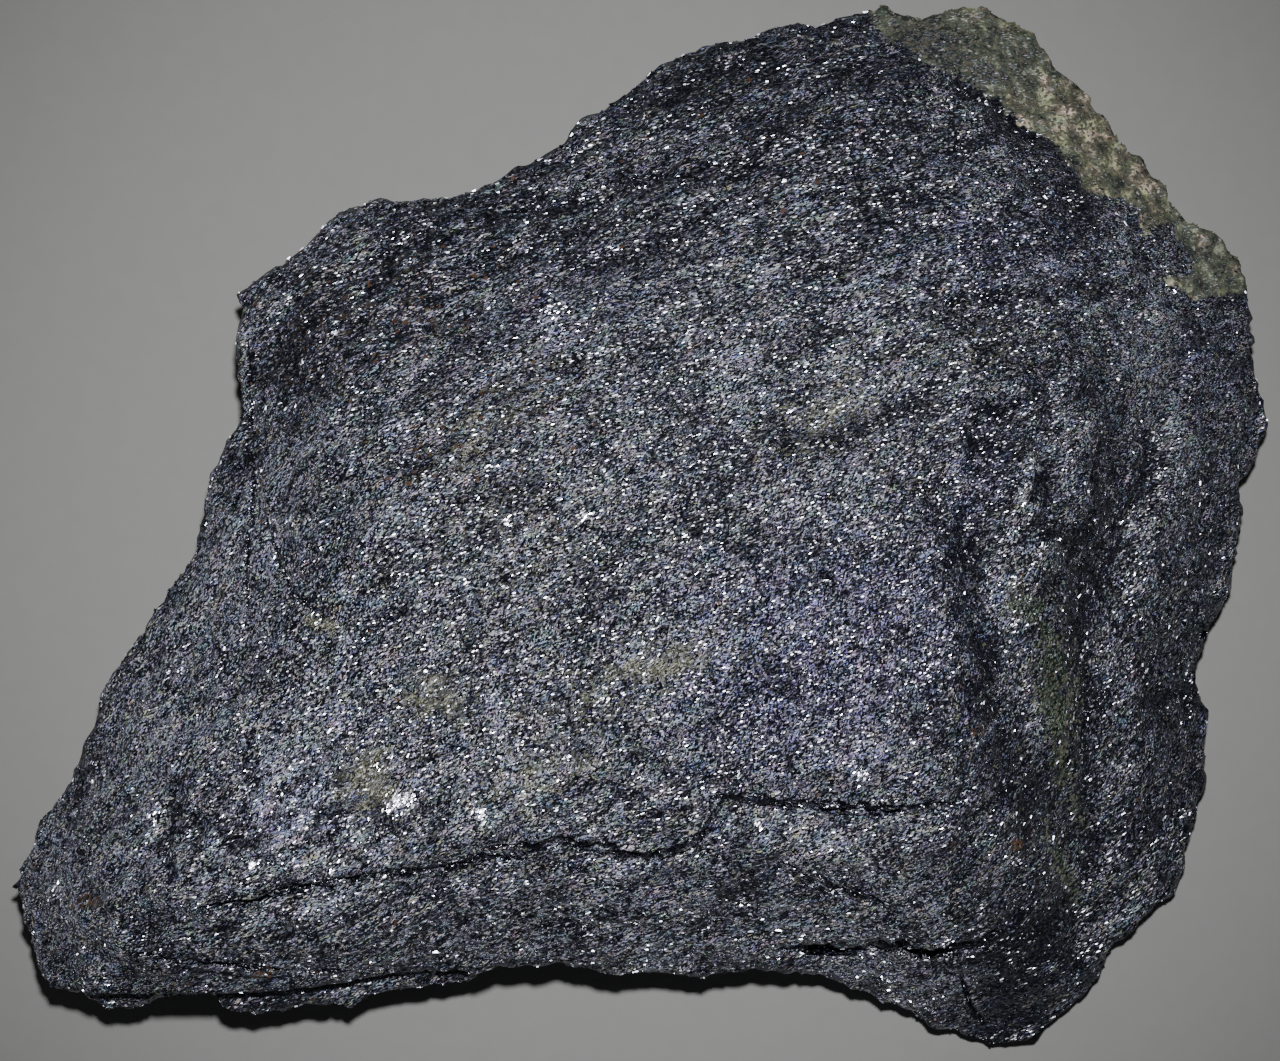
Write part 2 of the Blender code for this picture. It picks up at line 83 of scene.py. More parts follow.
class Finish:
    """A material under construction: its node tree, with one way to add any node."""

    def __init__(self, name, **constants):
        self.material = bpy.data.materials.new(name)
        self.material.use_nodes = True
        self.tree = self.material.node_tree
        self.shader = self.tree.nodes["Principled BSDF"]
        for socket, value in constants.items():
            self.shader.inputs[socket.replace("_", " ")].default_value = value

    def add(self, kind, settings=(), output=0, **values):
        """Adds a node: its type, its settings, which output is wanted, and its sockets' values."""
        node = self.tree.nodes.new(kind)
        for name, setting in dict(settings).items():
            if name == "stops":
                stops = node.color_ramp.elements
                for number, (position, colour) in enumerate(setting):
                    stop = stops[number] if number < 2 else stops.new(position)
                    stop.position = position
                    stop.color = (*colour, 1.0)
            else:
                setattr(node, name, setting)
        for name, value in values.items():
            key = int(name[1:]) if name[0] == "_" else name.replace("_", " ")
            self.join(value, node.inputs[key])
        return Socket(self.tree, node.outputs[output])

    def join(self, value, socket):
        if isinstance(value, Socket):
            self.tree.links.new(value.socket, socket)
        else:
            socket.default_value = value

    def places(self):
        """Where a point of the piece is, in millimetres."""
        metres = self.add("ShaderNodeTexCoord", output=3)
        return self.add("ShaderNodeVectorMath", {"operation": "SCALE"}, _0=metres, Scale=1.0 / MM)

    def stored(self, name):
        """A value that the piece's vertices carry."""
        return self.add("ShaderNodeAttribute", {"attribute_name": name}, 2)

    def cells(self, places, size, output):
        """Random values of the cells of a mosaic: its output 0 is a distance, 1 a colour."""
        return self.add("ShaderNodeTexVoronoi", output=output, Vector=places, Scale=1.0 / size)

    def noise(self, places, length, detail=3.0, roughness=0.55):
        return self.add("ShaderNodeTexNoise", {"noise_dimensions": "3D"}, Vector=places,
                        Scale=1.0 / length, Detail=detail, Roughness=roughness)

    def step(self, value, low, high):
        """0 below the low value, 1 above the high one, smooth between."""
        return self.add("ShaderNodeMapRange", {"interpolation_type": "SMOOTHSTEP"},
                        Value=value, From_Min=low, From_Max=high)

    def mix(self, share, first, second, blend="MIX"):
        return self.add("ShaderNodeMix", {"data_type": "RGBA", "blend_type": blend}, 2,
                        _0=share, _6=first, _7=second)

    def tinted(self, colour, tint):
        return self.mix(1.0, colour, tint, "MULTIPLY")

    def ramp(self, value, stops):
        """The colour that the stops give to the value."""
        return self.add("ShaderNodeValToRGB", {"stops": stops}, Fac=value)

    def part(self, colour, number):
        """One channel of a colour."""
        return self.add("ShaderNodeSeparateColor", output=number, Color=colour)

    def scaled(self, vector, factors):
        return self.add("ShaderNodeVectorMath", {"operation": "MULTIPLY"}, _0=vector, _1=factors)


TABLE_SIZE = 3.0
MOTTLE_LENGTH = 2.2
PAINT_DARK = (0.385, 0.385, 0.380, 1.0)
PAINT_PALE = (0.420, 0.420, 0.414, 1.0)
bpy.ops.mesh.primitive_plane_add(size=TABLE_SIZE)
table = bpy.context.object
table.name = "table"
paint = Finish("table_paint", Roughness=0.85)
mottle = paint.noise(paint.places(), length=MOTTLE_LENGTH, detail=4.0)
paint.join(paint.mix(mottle, PAINT_DARK, PAINT_PALE), paint.shader.inputs["Base Color"])
table.data.materials.append(paint.material)


# Camera and light
# The camera looks straight down from far off. A small bright lamp beside it makes the grains
# flash and throws a narrow shadow in front. Its beam fades to the sides, its spill lights the
# table further out, and the room adds a weak fill.

STONE_MIDDLE = Vector((0.0, 0.0, 0.020))
CAMERA_DISTANCE = 1.6
CAMERA_ASIDE = -0.0004
VIEW_WIDTH = 0.128
camera_data = bpy.data.cameras.new("camera")
camera_data.lens = camera_data.sensor_width * CAMERA_DISTANCE / VIEW_WIDTH
camera = bpy.data.objects.new("camera", camera_data)
camera.location = STONE_MIDDLE + Vector((CAMERA_ASIDE, 0.0, CAMERA_DISTANCE))
bpy.context.scene.collection.objects.link(camera)
bpy.context.scene.camera = camera

LAMP_PLACE = STONE_MIDDLE + Vector((0.02, 0.16, 1.58))
LAMP_AIM = Vector((-0.002, 0.003, 0.02))
LAMP_RADIUS = 0.028
LAMP_WATTS = 57.0
BEAM_ANGLE = math.radians(7.8)
SPILL_WATTS = 24.5
lamp_data = bpy.data.lights.new("lamp", "SPOT")
lamp_data.energy = LAMP_WATTS
lamp_data.shadow_soft_size = LAMP_RADIUS
lamp_data.spot_size = BEAM_ANGLE
lamp_data.spot_blend = 1.0
lamp = bpy.data.objects.new("lamp", lamp_data)
lamp.location = LAMP_PLACE
lamp.rotation_euler = (lamp.location - LAMP_AIM).to_track_quat("Z", "Y").to_euler()
bpy.context.scene.collection.objects.link(lamp)
spill_data = bpy.data.lights.new("spill", "POINT")
spill_data.energy = SPILL_WATTS
spill_data.shadow_soft_size = LAMP_RADIUS
spill = bpy.data.objects.new("spill", spill_data)
spill.location = LAMP_PLACE
bpy.context.scene.collection.objects.link(spill)

ROOM_COLOUR = (0.95, 0.97, 1.0, 1.0)
ROOM_STRENGTH = 0.026
room = bpy.data.worlds.new("room")
room.use_nodes = True
room.node_tree.nodes["Background"].inputs["Color"].default_value = ROOM_COLOUR
room.node_tree.nodes["Background"].inputs["Strength"].default_value = ROOM_STRENGTH
bpy.context.scene.world = room


# The stone
# One body of dark blue schist, split along its layers on top and underneath and broken across
# them at the sides. Its skin starts as the solid, is rounded by subdivision, and is then
# roughened: thin layers on the broken slopes, dashes along the grain, lumps, and cut cracks.

# The grain's direction, in degrees from X, at places on the upper side (in millimetres)
GRAIN_ZONES = [
    (-30.0, 22.0, 26.0), (-5.0, 32.0, 16.0), (22.0, 40.0, 14.0), (45.0, 25.0, 0.0),
    (-12.0, 12.0, 18.0), (0.0, 0.0, 42.0), (24.0, -8.0, 58.0), (-34.0, -6.0, 45.0),
    (-52.0, -18.0, 56.0), (-32.0, -28.0, 60.0), (-6.0, -20.0, 54.0), (-40.0, -41.0, 14.0),
    (-5.0, -38.0, 8.0), (25.0, -35.0, 4.0), (36.0, -20.0, 60.0), (45.0, -12.0, 70.0),
    (54.0, -10.0, 60.0), (52.0, -30.0, 45.0), (38.0, -46.0, 34.0), (14.0, -20.0, 56.0),
    (30.0, 10.0, 24.0),
]
ZONE_REACH, ZONE_CORE, ZONE_FALL = 9.0, 0.05, 1.5


def grain_angle(x, y):
    """The grain's direction at these places, in radians. It blends the zones as double angles."""
    zones = np.array(GRAIN_ZONES)
    off = (x[:, None] - zones[:, 0]) ** 2 + (y[:, None] - zones[:, 1]) ** 2
    weights = 1.0 / (off / ZONE_REACH**2 + ZONE_CORE) ** ZONE_FALL
    double = np.radians(zones[:, 2]) * 2.0
    return 0.5 * np.arctan2(weights @ np.sin(double), weights @ np.cos(double))


def eased(share):
    share = np.clip(share, 0.0, 1.0)
    return share * share * (3.0 - 2.0 * share)


def rough(places, length, seed, turbulent=False):
    """Perlin noise at each place, in millimetres, which changes over the given length.
    Every seed is another field, and a turbulent one has sharp valleys."""
    shift = Vector((seed * 17.3, seed * 5.1, seed * 9.7))
    values = [noise.noise(Vector(place) / length + shift) for place in places]
    return np.abs(values) if turbulent else np.array(values)


REACH = 64.0  # half the stone's length, about, in millimetres
POWERS = [(i, total - i) for total in range(1, 8) for i in range(total + 1)]


def follow_grain(places):
    """The places in a frame that bends with the grain: along it, across it, and height.
    Each of the first two is a polynomial whose slope matches the grain's direction best."""
    columns = np.linspace(-1.0, 1.0, 33)
    rows = np.linspace(-0.85, 0.85, 29)
    spots = np.stack(np.meshgrid(columns, rows), -1).reshape(-1, 2)
    angle = grain_angle(*(spots * REACH).T)
    slope_x = np.stack([i * spots[:, 0] ** max(i - 1, 0) * spots[:, 1] ** j for i, j in POWERS], 1)
    slope_y = np.stack([j * spots[:, 0] ** i * spots[:, 1] ** max(j - 1, 0) for i, j in POWERS], 1)
    slopes = np.concatenate([slope_x, slope_y])
    wanted = np.stack([np.concatenate([np.cos(angle), np.sin(angle)]),
                       np.concatenate([-np.sin(angle), np.cos(angle)])], 1)
    shares = np.linalg.lstsq(slopes, wanted, rcond=None)[0]
    x, y = places[:, 0] / REACH, places[:, 1] / REACH
    found = np.stack([x**i * y**j for i, j in POWERS], 1) @ shares * REACH
    return np.column_stack([found, places[:, 2]])


def seen_from_path(path, places):
    """Distance of each place from the path, seen from above, and from the path's nearer end."""
    path = np.array(path)
    nearest = np.full(len(places), np.inf)
    from_end = np.zeros(len(places))
    lengths = np.hypot(*np.diff(path, axis=0).T)
    for number, (start, end) in enumerate(zip(path, path[1:])):
        run = end - start
        share = np.clip((places[:, :2] - start) @ run / (run @ run), 0.0, 1.0)
        distance = np.hypot(*(places[:, :2] - start - share[:, None] * run).T)
        passed = lengths[:number].sum() + share * lengths[number]
        closer = distance < nearest
        nearest = np.where(closer, distance, nearest)
        from_end = np.where(closer, np.minimum(passed, lengths.sum() - passed), from_end)
    return nearest, from_end


# Cracks of the front slope and the upper side: path, depth and half width in millimetres
CRACKS = [
    ([(-43.0, -36.6), (-39.0, -36.0), (-34.0, -35.2), (-28.2, -34.8), (-24.0, -34.1),
      (-19.8, -33.1), (-14.0, -32.6), (-9.5, -32.6), (-7.4, -33.6), (-4.0, -35.2),
      (2.0, -35.6)], 0.5, 0.12),
    ([(-32.7, -39.5), (-28.0, -37.2), (-22.9, -34.6)], 0.4, 0.11),
    ([(-16.0, -31.2), (-11.1, -31.3), (-8.6, -30.4), (-5.5, -31.3), (-3.0, -31.8),
      (0.5, -32.3), (2.8, -31.7), (4.8, -30.5), (6.4, -29.0), (7.2, -27.6)], 1.8, 0.16),
    ([(5.6, -26.6), (8.0, -26.2), (12.0, -26.4), (16.0, -26.9), (21.0, -27.3), (26.0, -27.2),
      (32.0, -27.3)], 1.1, 0.15),
    ([(12.4, -33.0), (15.0, -33.8), (18.5, -35.4), (22.0, -36.4), (26.0, -37.5)], 0.8, 0.13),
    ([(13.0, -41.3), (16.5, -41.7), (20.0, -42.1), (23.7, -41.4), (26.0, -41.4), (28.2, -42.2),
      (31.2, -41.9), (33.5, -41.2), (37.0, -40.2)], 2.4, 0.26),
    ([(-52.0, -42.2), (-49.0, -42.3), (-44.8, -42.8), (-40.6, -43.3), (-36.6, -44.0)], 1.0, 0.15),
    ([(-47.5, -43.6), (-42.0, -44.2), (-37.4, -44.6), (-30.6, -44.6), (-24.0, -43.8)], 0.6, 0.13),
    ([(9.8, -40.3), (12.0, -40.4), (15.6, -40.0)], 0.6, 0.14),
    ([(-20.0, -38.6), (-13.0, -38.0), (-5.0, -37.9), (3.0, -38.6)], 0.4, 0.12),
    ([(-39.6, 19.5), (-39.4, 12.3), (-39.7, 9.0), (-38.8, 5.7), (-39.3, 0.0), (-39.6, -5.0),
      (-39.5, -9.5)], 0.7, 0.17),
    ([(-37.6, 1.5), (-37.0, -1.0), (-35.0, -6.2), (-33.0, -7.6), (-31.8, -8.0)], 0.6, 0.16),
    ([(31.6, -44.2), (32.4, -46.4), (33.2, -48.6), (34.8, -50.8)], 1.0, 0.2),
]
# The front edges of two layers, the lower one reaching further out: path, and the heights between
# which the layer lies, in millimetres
LAYER_EDGES = [
    ([(-56.5, -46.6), (-54.0, -47.6), (-50.5, -47.5), (-49.0, -46.8), (-46.5, -46.4),
      (-43.4, -46.6), (-42.2, -47.3), (-40.5, -47.9), (-38.0, -48.1), (-36.0, -47.9),
      (-34.8, -47.3), (-33.8, -47.3), (-31.0, -47.6), (-28.6, -47.2), (-27.2, -46.4),
      (-24.0, -45.9), (-20.0, -45.4), (-17.3, -44.9)], 12.0, 19.0),
    ([(-56.0, -46.3), (-52.0, -46.2), (-46.7, -46.1), (-38.0, -46.0), (-34.6, -45.7),
      (-30.4, -45.1), (-26.3, -44.4), (-22.8, -44.1), (-17.3, -43.8)], 19.0, 28.0),
]
# Folds of the layers: path, half width and height in millimetres, and how much lighter they are painted:
# painted light on the raised folds and painted shade on the sunken ones
FOLDS = [
    ([(-38.0, 17.5), (-33.0, 17.0)], 1.6, -0.4, -0.10),
    ([(-36.0, 21.0), (-31.0, 22.5), (-28.0, 24.0)], 1.3, -0.5, -0.10),
    ([(-28.5, 22.5), (-26.0, 26.0), (-24.5, 29.0)], 0.9, -0.5, -0.12),
    ([(-30.0, 19.8), (-22.0, 20.5), (-17.0, 21.5)], 0.7, -0.35, -0.06),
    ([(-24.0, 12.5), (-21.5, 14.5), (-19.0, 17.0)], 0.9, -0.5, -0.12),
    ([(-14.0, 31.0), (-8.0, 32.5), (-3.0, 34.0), (3.0, 35.2), (9.0, 36.5), (13.0, 38.5)], 0.9, -0.5, -0.10),
    ([(-20.0, 31.0), (-15.0, 32.0), (-10.0, 34.0)], 0.8, -0.4, -0.08),
    ([(-3.0, 42.0), (2.0, 43.5), (7.0, 46.0)], 1.1, -0.4, -0.10),
    ([(3.0, 38.5), (9.0, 40.5), (15.0, 41.0)], 0.8, -0.4, -0.08),
    ([(16.0, 45.0), (21.0, 45.5), (24.0, 46.0)], 0.9, -0.5, -0.12),
    ([(-10.0, 17.0), (-5.0, 17.2), (0.0, 17.8), (4.0, 18.6)], 0.7, -0.35, -0.06),
    ([(-8.0, 26.0), (-2.0, 27.0), (4.0, 28.6), (8.0, 29.5)], 0.8, -0.35, -0.06),
    ([(-8.0, 29.5), (0.0, 30.0), (8.0, 31.6)], 0.7, -0.3, -0.05),
    ([(14.0, 19.2), (18.7, 19.0), (22.5, 20.2)], 0.6, -0.4, -0.10),
    ([(18.0, 33.5), (25.0, 33.2), (31.0, 33.6)], 0.8, -0.3, -0.06),
    ([(12.0, 26.0), (18.0, 26.6), (24.0, 25.5)], 0.7, -0.3, -0.05),
    ([(31.0, 22.6), (35.0, 23.4), (40.0, 23.2), (46.0, 24.2), (52.0, 24.0)], 0.6, -0.4, -0.12),
    ([(30.0, 44.5), (33.5, 43.8), (37.5, 41.5), (40.0, 38.8)], 1.4, -0.4, -0.12),
    ([(13.0, 9.2), (16.0, 8.4), (20.0, 9.2), (23.5, 11.0), (27.0, 13.2), (30.0, 14.4)], 0.8, -0.6, -0.12),
    ([(24.0, 11.6), (31.0, 12.2), (38.0, 11.8)], 1.0, -0.4, -0.08),
    ([(13.5, 10.6), (17.0, 10.4), (21.0, 12.4), (24.0, 15.0), (26.0, 18.0)], 1.2, 0.5, 0.05),
    ([(41.0, 13.0), (40.8, 10.0)], 0.5, 0.6, 0.16),
    ([(39.8, 8.6), (38.0, 5.0), (37.0, 2.0), (36.0, -1.0)], 0.6, 0.6, 0.12),
    ([(37.0, -3.0), (40.0, -2.6)], 1.2, 0.3, 0.10),
    ([(30.0, 9.0), (31.5, 4.0), (33.0, 0.0)], 1.8, 1.0, 0.05),
    ([(33.0, 11.0), (34.5, 6.0), (34.0, 2.0)], 1.6, -0.5, -0.10),
    ([(37.5, 11.0), (37.0, 8.0)], 1.5, -0.3, -0.08),
    ([(31.5, -11.0), (34.0, -13.0), (36.0, -12.0)], 1.3, -0.5, -0.10),
    ([(32.5, -17.0), (35.5, -18.0)], 1.6, -0.6, -0.10),
    ([(33.5, -6.0), (36.5, -7.0)], 1.0, 0.5, 0.08),
    ([(35.5, -14.5), (37.5, -15.0)], 0.9, 0.5, 0.08),
    ([(36.5, -23.0), (39.0, -20.5)], 1.0, 0.4, 0.04),
    ([(36.5, 0.8), (33.0, -1.5), (29.5, -3.6)], 0.7, -0.6, -0.14),
    ([(51.0, 14.0), (51.8, 9.0), (49.8, 4.0), (47.6, 1.0), (47.0, -3.0)], 0.9, -0.3, -0.06),
    ([(47.0, -2.0), (45.0, -6.0), (43.0, -9.5), (43.5, -13.5), (45.0, -18.0), (44.0, -22.0),
      (44.6, -27.0), (44.8, -33.0), (45.5, -37.0)], 0.8, -0.4, -0.08),
    ([(44.0, 12.0), (43.0, 6.0), (42.5, 0.0)], 1.6, 0.5, 0.05),
    ([(54.0, 10.0), (53.0, 4.0), (50.5, -2.0), (49.5, -8.0)], 1.4, 0.4, 0.04),
    ([(46.3, -9.0), (46.0, -13.0), (46.6, -18.0)], 0.7, 0.4, 0.06),
    ([(50.0, -17.6), (53.0, -16.8), (55.5, -15.4)], 0.7, -0.5, -0.10),
    ([(-48.2, -35.0), (-47.2, -32.5), (-46.0, -28.0), (-46.2, -26.6)], 0.7, -0.6, -0.12),
    ([(-49.4, -32.5), (-48.2, -28.0)], 0.9, 0.5, 0.10),
    ([(-44.5, -33.5), (-42.5, -29.0)], 0.8, 0.4, 0.06),
    ([(-40.4, -31.0), (-38.4, -27.6)], 0.7, -0.4, -0.08),
    ([(-36.0, -30.0), (-34.5, -26.5)], 0.7, -0.3, -0.05),
    ([(-33.0, -31.5), (-30.0, -29.5)], 0.8, -0.4, -0.06),
    ([(-41.4, -14.0), (-41.3, -19.0)], 0.6, -0.4, -0.10),
    ([(-23.5, -7.0), (-26.5, -9.3), (-29.5, -14.0)], 0.8, -0.35, -0.07),
    ([(-26.5, -26.0), (-25.8, -29.5)], 1.0, -0.6, -0.12),
    ([(-20.6, -30.0), (-20.2, -25.5)], 0.8, -0.4, -0.07),
    ([(-18.0, -29.5), (-16.0, -26.0), (-13.6, -25.4)], 0.7, 0.5, 0.08),
    ([(-16.6, 1.0), (-16.5, -1.6)], 0.8, -0.4, -0.10),
    ([(-10.0, -26.0), (-5.0, -23.5), (-1.5, -21.8), (4.0, -18.6)], 1.0, 0.4, 0.02),
    ([(-3.0, -23.8), (0.6, -21.2), (6.0, -19.4), (10.0, -17.2), (13.0, -14.0)], 0.7, -0.3, -0.04),
    ([(1.0, -24.2), (3.0, -22.4)], 1.2, -0.4, -0.08),
    ([(-15.5, -23.0), (-13.4, -21.6)], 0.9, -0.4, -0.08),
    ([(-46.0, -39.6), (-38.0, -40.2), (-31.0, -39.4)], 0.8, -0.4, -0.08),
    ([(-31.6, -38.2), (-29.8, -37.4)], 0.6, -0.4, -0.10),
    ([(-12.0, -39.4), (0.0, -39.6), (9.0, -39.0)], 0.6, -0.3, -0.05),
    ([(28.0, -43.0), (34.0, -42.5), (38.0, -40.8), (42.0, -39.5)], 0.8, -0.4, -0.10),
]

# The pale band's inner border, from the far edge to the right edge, in millimetres
BAND_BORDER = [
    (21.8, 53.0), (22.6, 51.6), (24.0, 49.9), (25.6, 48.6), (27.4, 47.1), (29.2, 46.4),
    (31.2, 45.7), (33.7, 45.0), (35.8, 43.4), (37.8, 41.9), (39.9, 39.8), (42.0, 37.3),
    (43.7, 34.8), (45.5, 34.1), (47.4, 33.6), (49.9, 31.5), (50.4, 30.3), (53.7, 30.7),
    (54.1, 29.0), (55.3, 26.6), (52.4, 25.3), (53.7, 24.2), (57.0, 23.2), (60.8, 24.2), (62.5, 24.0),
]
BORDER_ROUND_OUTSIDE = [(80.0, 24.0), (80.0, 80.0), (21.8, 80.0)]

# Tan patches. As in all the tables of patches below, a row has the patch's middle, half length,
# half width, turn in degrees, and strength.
TAN_PATCHES = [
    (2.0, -13.2, 6.0, 2.6, 8.0, 0.9), (-5.0, -18.0, 9.0, 4.0, 35.0, 0.5),
    (-20.5, -16.5, 3.5, 2.6, 0.0, 0.8), (-27.0, -25.0, 3.2, 3.6, 60.0, 1.1),
    (-32.3, -9.2, 1.6, 0.8, -20.0, 1.3),
    (-10.0, -24.0, 6.0, 2.5, 20.0, 0.6), (-16.5, 10.0, 7.0, 3.0, 40.0, 0.5),
    (18.0, 11.5, 6.0, 3.5, 30.0, 0.55), (-12.0, -2.0, 8.0, 7.0, 0.0, 0.3),
    (30.0, 18.0, 12.0, 3.0, 8.0, 0.25),
]
# Where the layers show as fine bundles, and where the surface is brighter and duller: partly its own tone,
# partly painted light and painted shade of its forms
LAYERED_PATCHES = [
    (-16.0, -40.0, 45.0, 4.5, 0.0, 1.0), (20.0, -38.0, 22.0, 4.5, 0.0, 0.9),
    (-14.0, 28.0, 32.0, 9.0, 16.0, 0.8), (12.0, 38.0, 26.0, 8.0, 14.0, 0.6),
    (20.0, 28.0, 26.0, 5.0, 4.0, 0.4), (-45.0, -8.0, 24.0, 4.0, 62.0, 0.5),
    (46.0, -14.0, 22.0, 5.0, 75.0, 0.4), (0.0, -30.5, 30.0, 2.5, 3.0, 0.7),
]
LIGHTER_TONE_AND_PAINTED_LIGHT_PATCHES = [
    (-33.0, -25.0, 12.0, 7.0, 35.0, 0.6), (-40.0, -30.0, 8.0, 4.0, 40.0, 0.3),
    (-58.0, -34.0, 6.0, 6.0, 0.0, 0.6), (-31.0, 3.0, 8.0, 7.0, 30.0, 0.5),
    (-12.0, -24.0, 9.0, 4.0, 15.0, 0.3),
    (-41.0, -6.0, 10.0, 5.0, 60.0, 0.9), (19.0, -27.5, 12.0, 4.0, 0.0, 0.5),
    (-14.0, -40.0, 14.0, 3.0, 0.0, 0.3), (0.0, 20.0, 14.0, 6.0, 8.0, 0.6),
    (-9.0, 22.0, 6.0, 3.5, 10.0, 0.4), (41.5, 8.0, 4.0, 0.8, 80.0, 1.2),
    (50.0, 19.0, 11.0, 7.0, -60.0, 1.1), (28.0, 20.0, 8.0, 4.0, 10.0, 0.2),
    (45.0, -9.0, 10.0, 1.8, 85.0, 0.7), (27.0, -45.0, 6.0, 2.0, -15.0, 0.5),
    (55.0, 8.0, 6.0, 3.0, 80.0, 0.4), (-48.0, -20.0, 10.0, 4.0, 56.0, 0.9),
]
DARKER_TONE_AND_PAINTED_SHADE_PATCHES = [
    (38.5, -45.5, 7.0, 5.0, 50.0, 2.6), (29.0, 9.0, 7.0, 4.5, -10.0, 0.9),
    (38.5, 0.0, 6.0, 3.5, 80.0, 0.7), (51.0, -26.0, 12.0, 4.0, 80.0, 0.4),
    (0.0, -5.0, 24.0, 15.0, 10.0, 0.3), (34.0, 2.0, 5.0, 1.8, 80.0, 0.3),
    (40.0, -29.0, 9.0, 5.0, 80.0, 0.8), (46.0, 5.0, 8.0, 4.0, 80.0, 0.3),
    (51.0, -31.0, 9.0, 5.0, 60.0, 0.6), (-24.0, 27.0, 14.0, 5.0, 22.0, 0.7),
    (-34.0, 17.0, 9.0, 6.0, 30.0, 0.9), (38.0, 14.0, 12.0, 4.0, 0.0, 0.4),
    (4.0, 43.0, 16.0, 5.0, 22.0, 0.8), (17.0, 32.0, 10.0, 6.0, 0.0, 0.3),
    (-34.0, -40.5, 9.0, 3.0, 10.0, 0.4), (43.0, -39.0, 4.0, 5.0, 40.0, 0.8),
    (-48.0, -40.0, 8.0, 4.0, 0.0, 0.5), (-50.0, -46.0, 12.0, 2.5, 0.0, 0.6),
    (-20.0, -7.0, 4.0, 5.0, 0.0, 0.6), (-21.0, -21.0, 3.0, 4.0, 0.0, 0.5),
    (-44.0, -33.0, 3.0, 6.0, 0.0, 0.4), (50.0, -4.0, 10.0, 2.5, 75.0, 0.4),
]
# Where the layers are crumpled into small wrinkles, and where the stone is mossy green
CRUMPLED_PATCHES = [
    (-38.0, -29.0, 20.0, 7.5, 12.0, 1.1), (-10.0, -24.0, 12.0, 5.0, 15.0, 0.6),
    (38.0, 4.0, 10.0, 7.0, 75.0, 0.6),
    (34.0, -16.0, 8.0, 6.0, 90.0, 0.5), (20.0, -14.0, 9.0, 9.0, 0.0, 0.35),
]
GREEN_PATCHES = [
    (37.8, -7.4, 2.8, 1.6, -50.0, 0.8), (40.0, -10.6, 2.6, 1.3, -55.0, 0.7),
    (40.8, -16.6, 5.0, 2.2, -82.0, 1.0), (41.7, -22.6, 3.2, 1.1, -85.0, 0.9),
    (43.2, -27.8, 2.6, 0.7, -64.0, 0.9), (40.6, -30.4, 1.6, 0.5, -70.0, 0.5),
    (41.9, -33.6, 2.4, 0.8, -66.0, 0.9), (43.4, -36.6, 1.4, 0.6, -60.0, 0.7),
]
# Dark green and dark parts of the pale band
BAND_GREEN_PATCHES = [
    (31.0, 49.0, 9.5, 3.8, -20.0, 1.9), (57.4, 27.2, 5.0, 5.0, 0.0, 1.3),
    (26.0, 51.0, 4.5, 1.8, -10.0, 1.6), (46.5, 36.0, 4.0, 1.2, -42.0, 0.5),
]
BAND_DARK_PATCHES = [(28.6, 48.9, 3.8, 2.0, -30.0, 1.2), (34.0, 46.2, 3.0, 0.8, -12.0, 0.9)]
# Where the schist is cooler in colour, and where it is stained by rust
VIOLET_PATCHES = [
    (17.0, -12.0, 17.0, 13.0, 20.0, 1.0), (33.0, 5.0, 8.0, 4.0, 60.0, 0.7),
    (36.0, 28.0, 12.0, 6.0, 0.0, 0.6), (-8.0, 22.0, 12.0, 6.0, 10.0, 0.4),
    (-34.0, -26.0, 12.0, 8.0, 30.0, 0.5), (56.0, 16.0, 4.0, 8.0, 0.0, 0.5),
]
RUST_PATCHES = [
    (37.0, -4.5, 3.2, 0.6, -72.0, 1.1), (33.2, -20.0, 0.5, 0.4, 0.0, 40.0),
    (37.2, -31.5, 0.5, 0.4, 0.0, 30.0),
    (30.8, -31.2, 0.5, 0.4, 0.0, 25.0), (-55.3, -37.0, 0.8, 0.5, 0.0, 25.0),
    (-38.3, -44.0, 0.7, 0.4, 0.0, 30.0), (-31.0, -9.5, 3.0, 1.5, 0.0, 0.5),
    (-28.0, 21.0, 13.0, 9.0, 14.0, 0.75), (-14.0, 11.0, 9.0, 6.0, 25.0, 0.7),
    (-22.0, 8.0, 12.0, 5.0, 5.0, 0.5), (6.0, 34.0, 16.0, 8.0, 10.0, 0.15),
    (-30.0, -42.0, 14.0, 3.0, 0.0, 0.2),
]

FOLD_FADE, CRACK_FADE = 3.0, 2.5  # a fold or crack fades out over this length at each end
BLUNT_END = 0.25  # share of its height that a fold still has at its ends


def folds_at(places):
    """How high the folds raise each place, in millimetres, and how much painted light on the raised ones
    and painted shade on the sunken ones they give it.
    """
    height, tone = np.zeros(len(places)), np.zeros(len(places))
    for path, half_width, rise, shade in FOLDS:
        distance, from_end = seen_from_path(path, places)
        share = np.exp(-((distance / half_width) ** 2)) * eased(BLUNT_END + from_end / FOLD_FADE)
        height += rise * share
        tone += shade * share
    return height, tone


def to_and_fro(places):
    """The places shifted a little, so that the cracks sway."""
    shifted = places.copy()
    shifted[:, 1] += 0.35 * rough(places, 3.0, 7) + 0.12 * rough(places, 0.9, 8)
    return shifted


def patches_at(places, patches):
    """How strongly the patches cover each place: a patch's strength in its middle, then less."""
    total = np.zeros(len(places))
    for x, y, half_length, half_width, turn, strength in patches:
        turn = math.radians(turn)
        along = (places[:, 0] - x) * math.cos(turn) + (places[:, 1] - y) * math.sin(turn)
        across = (places[:, 1] - y) * math.cos(turn) - (places[:, 0] - x) * math.sin(turn)
        off = (along / half_length) ** 2 + (across / half_width) ** 2
        total = np.maximum(total, strength * np.exp(-off))
    return total


def beyond_band(places):
    """Distance past the band's border, in millimetres: positive in the pale band."""
    distance, _ = seen_from_path(BAND_BORDER, places)
    corners = np.array(BAND_BORDER + BORDER_ROUND_OUTSIDE)
    found = np.zeros(len(places), bool)
    for (ax, ay), (bx, by) in zip(corners, np.roll(corners, -1, axis=0)):
        crosses = (ay > places[:, 1]) != (by > places[:, 1])
        rise = np.where(by == ay, 1.0, by - ay)
        found ^= crosses & (places[:, 0] < (bx - ax) * (places[:, 1] - ay) / rise + ax)
    return np.where(found, distance, -distance)


